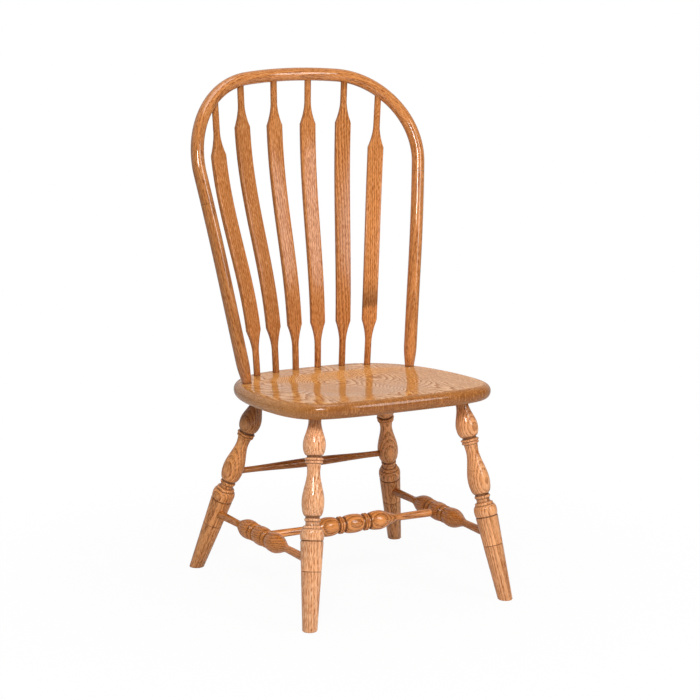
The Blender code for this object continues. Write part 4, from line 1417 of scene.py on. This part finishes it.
@dataclass(frozen=True)
class Bow:
    """The bent bow: a three-centred arch that leans back, with tapered feet through the seat."""

    seat: Seat
    diameter: float = 0.0286
    foot_x: float = 0.1992
    foot_y: float = 0.0888
    height: float = 0.6606
    flare: float = math.radians(8.22)
    corner_radius: float = 0.1735
    crown_radius: float = 1.2000
    recline: float = math.radians(13.60)
    wrap_depth: float = 0.0223776
    belly: float = 0.0810
    foot_sweep: float = 0.0104
    sweep_height: float = 0.220
    tenon_diameter: float = 0.0206
    taper_start: float = 0.004
    taper_length: float = 0.045
    proud: float = 0.0002
    limb_steps: int = 40
    corner_steps: int = 36
    crown_steps: int = 16
    taper_steps: int = 8
    sides: int = 48
    finish: BowFinish = BowFinish("bow_lacquered_oak")

    @property
    def rise(self) -> Vector:
        """Direction of the right limb in the arch's plane."""
        return Vector((math.sin(self.flare), math.cos(self.flare)))

    def arch(self) -> tuple[Vector, Vector, float]:
        """The three-centred arch in its own plane.

        Returns:
            The centre of the right corner, the centre of the crown and the limb's length.
        """
        foot = Vector((self.foot_x, 0.0))
        inner = Vector((-self.rise.y, self.rise.x))
        crown = Vector((0.0, self.height - self.crown_radius))
        offset = foot + inner * self.corner_radius - crown
        along = offset.dot(self.rise)
        apart = self.crown_radius - self.corner_radius
        limb = -along + math.sqrt(along ** 2 - offset.length_squared + apart ** 2)
        return foot + self.rise * limb + inner * self.corner_radius, crown, limb

    def point(self, x: float, height: float) -> Vector:
        """A point of the centre line.

        Args:
            x: Its place across the arch's plane.
            height: Its place up the arch's plane.

        Returns:
            The point.
        """
        share = height / self.height
        below = max(0.0, 1.0 - height / self.sweep_height)
        sweep = self.foot_sweep * (1.0 - below ** 2)
        lean = height * math.sin(self.recline) + sweep - self.belly * share * (1.0 - share)
        wrap = self.wrap_depth * (1.0 - (x / self.foot_x) ** 2)
        rise = self.seat.top(self.foot_y) + height * math.cos(self.recline)
        return Vector((x, self.foot_y + lean + wrap, rise))

    def over(self, x: float) -> Vector:
        """The point of the centre line above a place across the back.

        Args:
            x: The place.

        Returns:
            The point.
        """
        corner, crown, _ = self.arch()
        reach = crown + (corner - crown).normalized() * self.crown_radius
        inner = abs(x) <= reach.x
        centre, radius = (crown, self.crown_radius) if inner else (corner, self.corner_radius)
        return self.point(x, centre.y + math.sqrt(radius ** 2 - (abs(x) - centre.x) ** 2))

    def right_half(self) -> list[Vector]:
        """Points of the right half from the foot to the crown.

        Returns:
            The points.
        """
        corner, crown, limb = self.arch()
        foot = Vector((self.foot_x, 0.0))
        flat = [foot + self.rise * limb * share for share in shares(self.limb_steps)[:-1]]
        join = math.atan2(corner.y - crown.y, corner.x - crown.x)
        flat += arc(corner, self.corner_radius, -self.flare, join, self.corner_steps)[:-1]
        flat += arc(crown, self.crown_radius, join, math.pi / 2.0, self.crown_steps)
        return [self.point(p.x, p.y) for p in flat]

    def foot_line(self) -> list[tuple[Vector, float, float]]:
        """The right foot from the tenon's end to the top of its taper.

        Returns:
            Point, diameter and hollow along it.
        """
        top = self.point(self.foot_x, 0.0)
        above = self.point(self.foot_x + SHORT_STEP * math.tan(self.flare), SHORT_STEP)
        along = (above - top).normalized()
        end = top - along * (self.seat.thickness / along.z + self.proud)
        line = [(end, self.tenon_diameter, 0.0), (top, self.tenon_diameter, JOINT_STAIN)]
        for share, (swell, _) in zip(shares(self.taper_steps), quarters(self.taper_steps)):
            girth = between(self.tenon_diameter, self.diameter, swell)
            line.append((top + along * (self.taper_start + self.taper_length * share), girth, 0.0))
        return line

    def stations(self) -> list[Station]:
        """The stations from the left tenon over the crown to the right one.

        Returns:
            The stations.
        """
        lead = self.foot_line()
        limit = lead[-1][0].z + self.diameter / 4.0
        right = lead + [(point, self.diameter, 0.0)
                        for point in self.right_half() if point.z > limit]
        left = [(Vector((-point.x, point.y, point.z)), girth, hollow)
                for point, girth, hollow in right[:-1]]
        route = left + right[::-1]
        front = Vector((0.0, -1.0, 0.0))
        stations = []
        run = 0.0
        for index, (point, girth, hollow) in enumerate(route):
            before = route[max(index - 1, 0)][0]
            after = route[min(index + 1, len(route) - 1)][0]
            along = (after - before).normalized()
            run += (point - before).length
            facing = (front - along * along.dot(front)).normalized()
            stations.append(Station(point, facing.cross(along), facing, girth / 2.0, girth / 2.0,
                                    run, hollow))
        return stations

    def build(self, sweep: RodSweep) -> None:
        """Bend the bow, dress it and let it stand for its solid."""
        sweep.piece("bent_bow", self.stations(), self.sides, self.finish, "bow", "bow_oak")


@dataclass(frozen=True)
class Spindle:
    """One bent spindle: a round foot, a flat paddle that leans back and a round top in the bow."""

    bow: Bow
    number: int
    sign: float
    foot_x: float
    foot_y: float
    top_x: float
    paddle_drop: float
    finish: OakFinish
    diameter: float = 0.0147
    foot_depth: float = 0.0190
    # How dark the painted shade is at the foot, where the spindle meets the seat
    foot_darkening: float = 0.30
    top_depth: float = 0.0040
    foot_length: float = 0.0505
    heel_length: float = 0.0505
    shoulder_length: float = 0.0505
    hollow_power: float = 2.1
    straight_top: float = 0.048
    paddle_foot_width: float = 0.0329
    paddle_top_width: float = 0.0350
    paddle_thickness: float = 0.0125
    paddle_squareness: float = 9.0
    flare_steps: int = 16
    blade_steps: int = 30
    sides: int = 48

    @property
    def foot(self) -> Vector:
        """Where the centre line meets the seat."""
        return Vector((self.sign * self.foot_x, self.foot_y, self.bow.seat.top(self.foot_y)))

    @property
    def top(self) -> Vector:
        """Where the centre line meets the middle of the bow."""
        return self.bow.over(self.sign * self.top_x)

    @property
    def rise(self) -> float:
        """Height of the top above the foot."""
        return self.top.z - self.foot.z

    @property
    def lean(self) -> Vector:
        """Direction of the spindle at its two ends."""
        return Vector(((self.top.x - self.foot.x) / 2.0, 0.0, self.rise)).normalized()

    @property
    def paddle_start(self) -> float:
        """Height of the paddle's lower corners above the seat."""
        return self.foot_length + self.heel_length

    @property
    def paddle_end(self) -> float:
        """Height of the paddle's upper corners above the seat."""
        return self.rise - self.paddle_drop

    def centre(self, height: float) -> Vector:
        """Point of the bent centre line.

        Args:
            height: Its height above the seat.

        Returns:
            The point.
        """
        bend = eased(clamped(height / (self.rise - self.straight_top)))
        across = (self.top.x - self.foot.x) * (height / self.rise + bend) / 2.0
        return self.foot + Vector((across, (self.top.y - self.foot.y) * bend, height))

    def station(self, centre: Vector, along: Vector, height: float, hollow: float = 0.0) -> Station:
        """The section at a height above the seat, facing as the bow wraps.

        Args:
            centre: Middle of the section.
            along: Direction of the spindle there.
            height: Height above the seat.
            hollow: How near to a joint it lies.

        Returns:
            The station.
        """
        below = (height - self.foot_length) / self.heel_length
        above = (self.paddle_end + self.shoulder_length - height) / self.shoulder_length
        flare = clamped(min(below, above)) ** self.hollow_power
        share = clamped((height - self.paddle_start) / (self.paddle_end - self.paddle_start))
        paddle = between(self.paddle_foot_width, self.paddle_top_width, share)
        width = between(self.diameter, paddle, flare)
        thickness = between(self.diameter, self.paddle_thickness, flare)
        up = along.normalized()
        wrapped = Vector((1.0, -2.0 * self.bow.wrap_depth * centre.x / self.bow.foot_x ** 2, 0.0))
        across = (wrapped - up * wrapped.dot(up)).normalized()
        return Station(centre, across, across.cross(up), width / 2.0, thickness / 2.0, height,
                       hollow, between(Station.squareness, self.paddle_squareness, flare))

    def heights(self) -> list[float]:
        """Heights above the seat of the sections that shape the spindle.

        Returns:
            The heights in order.
        """
        flare, blade = shares(self.flare_steps), shares(self.blade_steps)[1:-1]
        lower = [self.foot_length + self.heel_length * share for share in flare]
        middle = [between(self.paddle_start, self.paddle_end, share) for share in blade]
        upper = [self.paddle_end + self.shoulder_length * share for share in flare]
        return [JOINT_REACH, self.foot_length / 2.0] + lower + middle + upper

    def stations(self) -> list[Station]:
        """The stations from the foot tenon to the top tenon.

        Returns:
            The stations.
        """
        lean, rise = self.lean, self.rise
        sections = [self.station(self.foot - lean * self.foot_depth, lean, 0.0),
                    self.station(self.foot, lean, 0.0, JOINT_STAIN)]
        for height in self.heights():
            along = self.centre(height + SHORT_STEP) - self.centre(height - SHORT_STEP)
            # Painted shade that deepens down the foot towards the seat
            near = self.foot_darkening * max(1.0 - height / self.foot_length, 0.0)
            sections.append(self.station(self.centre(height), along, height, near))
        sections.append(self.station(self.top - lean * self.bow.diameter, lean, rise))
        sections.append(self.station(self.top + lean * self.top_depth, lean, rise, JOINT_STAIN))
        return sections

    def build(self, sweep: RodSweep) -> None:
        """Shape the spindle, dress it and let it stand for its solid."""
        name = f"spindle_{self.number}"
        sweep.piece(f"paddle_{name}", self.stations(), self.sides, self.finish, name, "spindle_oak")


@dataclass(frozen=True)
class Board:
    """The board that a spindle was cut from: how pale it is, its pith and its growth rings."""

    strength: float
    across: float
    behind: float
    ring_width: float = OakFinish.ring_width
    ring_depth: float = OakFinish.ring_depth
    wobble: float = OakFinish.wobble


@dataclass(frozen=True)
class Back:
    """The bow and the three pairs of spindles that fan out under it.

    A pair is given by its foot's place across and towards the back, its top's place across and
    how far its paddle ends below the top.
    """

    bow: Bow
    pairs: tuple[tuple[float, float, float, float], ...] = (
        (0.02728, 0.2013, 0.0422, 0.110),
        (0.08184, 0.1896, 0.1276, 0.103),
        (0.13640, 0.1713, 0.2002, 0.1265),
    )
    boards: tuple[Board, ...] = (
        Board(0.85, 0.075, -0.050), Board(0.80, 0.090, -0.060), Board(0.90, -0.080, -0.070),
        Board(0.97, 0.085, -0.055), Board(0.98, -0.060, -0.030, 0.006, 1.9, 0.016),
        Board(1.09, -0.085, -0.060),
    )
    board_shift: float = 0.37
    patched: int = 6
    patch_height: float = 0.1275
    oak: OakFinish = OakFinish("spindle_lacquered_oak", dash_length=0.009, dash_depth=0.50,
                               pore_depth=0.60, coat=0.52, coat_loss=0.75, coat_roughness=0.15)

    def build(self, sweep: RodSweep) -> None:
        """Build the bow and the spindles.

        Args:
            sweep: Skins the rods.
        """
        self.bow.build(sweep)
        count = len(self.pairs)
        for index, sizes in enumerate(self.pairs):
            for sign, number in ((-1.0, count - index), (1.0, count + index + 1)):
                Spindle(self.bow, number, sign, *sizes, self.timber(number)).build(sweep)

    def timber(self, number: int) -> OakFinish:
        """The timber of one spindle.

        Args:
            number: The spindle's number from the left.

        Returns:
            The finish.
        """
        board = self.boards[number - 1]
        pith = (board.across, board.behind, self.board_shift * number)
        finish = replace(self.oak, name=f"spindle_oak_{number}", pith=pith,
                         ring_width=board.ring_width, ring_depth=board.ring_depth,
                         wobble=board.wobble,
                         pale=(*(part * board.strength for part in self.oak.pale[:3]), 1.0))
        if number == self.patched:
            finish = PatchedFinish(**asdict(finish), patch_start=self.patch_height - pith[2])
        return finish


# Studio

@dataclass(frozen=True)
class Lamp:
    """One soft lamp: its place, width, height and power, and whether the lacquer mirrors it."""

    name: str
    place: Triple
    width: float
    height: float
    power: float
    mirrored: bool = True

    def hang(self, aim: Vector) -> None:
        """Hang the lamp and turn it to a point.

        Args:
            aim: The point.
        """
        data = bpy.data.lights.new(self.name, "AREA")
        data.shape = "ELLIPSE"
        data.size = self.width
        data.size_y = self.height
        data.energy = self.power
        lamp = add_object(self.name, data)
        lamp.location = self.place
        lamp.rotation_euler = (aim - Vector(self.place)).to_track_quat("-Z", "Y").to_euler()
        lamp.visible_glossy = self.mirrored


@dataclass(frozen=True)
class Studio:
    """A pale floor, a soft white surround, lamps and the camera."""

    eye: Triple = (-2.16345, -4.14890, 1.42566)
    lens: float = 114.25
    sensor: float = 36.0
    floor_size: float = 14.0
    floor_colour: Colour = (0.80, 0.80, 0.80, 1.0)
    floor_roughness: float = 0.9
    floor_glow: float = 0.95
    floor_mirrored: float = 0.25
    white_reach: Span = (0.35, 1.10)
    surround: float = 0.16
    mirrored: float = 0.68
    mirrored_reach: Span = (-0.1, 0.4)
    lamps: tuple[Lamp, ...] = (
        Lamp("key_lamp", (-1.4, -2.4, 2.35), 1.0, 1.0, 64.0),
        Lamp("right_lamp", (1.25, -2.5, 1.88), 1.0, 1.8, 35.0),
        Lamp("top_lamp", (0.0, -0.1, 3.3), 1.6, 1.6, 24.0),
        Lamp("rear_lamp", (0.7, 2.6, 2.0), 2.4, 2.4, 26.0, False),
    )
    aim: Triple = (0.0, 0.0, 0.60)

    def camera(self) -> None:
        """Put the camera where the photograph was taken from."""
        data = bpy.data.cameras.new("studio_camera")
        data.lens = self.lens
        data.sensor_width = self.sensor
        data.dof.use_dof = False
        seen = add_object("studio_camera", data)
        seen.location = self.eye
        seen.rotation_euler = (math.pi / 2.0 - ELEVATION, 0.0, AZIMUTH)
        bpy.context.scene.camera = seen

    def lights(self) -> None:
        """Hang the soft lamps and make the surround white, and mirrored only behind the chair."""
        for lamp in self.lamps:
            lamp.hang(Vector(self.aim))
        world = bpy.data.worlds.new("white_surround")
        world.use_nodes = True
        graph = Graph(world.node_tree)
        camera, glossy = graph.rays()
        ahead = graph.parts(graph.value("ShaderNodeTexCoord", None, None, "Generated"))[1]
        behind = graph.ramp(ahead, *self.mirrored_reach) * self.mirrored
        seen = graph.math("MAXIMUM", camera, glossy * behind)
        graph.feed(world.node_tree.nodes["Background"], {
            "Color": WHITE, "Strength": self.surround + seen * (1.0 - self.surround)})
        bpy.context.scene.world = world

    def floor(self) -> None:
        """Lay the floor, white to the camera but for the chair's soft shadow."""
        half = self.floor_size / 2.0
        mesh = bpy.data.meshes.new("studio_floor")
        corners = [(-half, -half, 0.0), (half, -half, 0.0), (half, half, 0.0), (-half, half, 0.0)]
        mesh.from_pydata(corners, [], [(0, 1, 2, 3)])
        material, graph, plain = new_material("studio_floor_white")
        graph.feed(plain, {"Base Color": self.floor_colour, "Roughness": self.floor_roughness,
                           "Specular IOR Level": 0.0})
        glow = graph.value("ShaderNodeEmission", None, {"Color": WHITE, "Strength": 1.0})
        camera, glossy = graph.rays()
        away = graph.value("ShaderNodeVectorMath", {"operation": "LENGTH"}, {0: graph.place()},
                           "Value")
        white = self.floor_glow + graph.ramp(away, *self.white_reach) * (1.0 - self.floor_glow)
        share = graph.math("MAXIMUM", camera, glossy * self.floor_mirrored) * white
        mixed = graph.value("ShaderNodeMixShader", None,
                            {0: share, 1: Value(graph, plain.outputs["BSDF"]), 2: glow})
        graph.feed(material.node_tree.nodes["Material Output"], {"Surface": mixed})
        mesh.materials.append(material)
        floor = add_object("studio_floor", mesh)

    def build(self) -> None:
        """Set up the whole studio."""
        self.camera()
        self.lights()
        self.floor()
        bpy.context.scene.view_settings.view_transform = "Standard"


def dress_wedges() -> None:
    """Give the wedges, which keep their solids, a bare wood finish."""
    finish = WedgeFinish().material()
    for name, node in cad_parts.items():
        if "wedge" in name:
            node.data.materials.clear()
            node.data.materials.append(finish)
            LOG.info("%s: bare wood", name)


def main() -> None:
    """Build the chair's pieces in order, then the studio round them."""
    logging.basicConfig(level=logging.INFO, format="%(message)s")
    sweep = RodSweep()
    seat = Seat()
    seat.build()
    Understructure(seat).build(sweep)
    Back(Bow(seat)).build(sweep)
    dress_wedges()
    Studio().build()


if __name__ == "__main__":
    main()
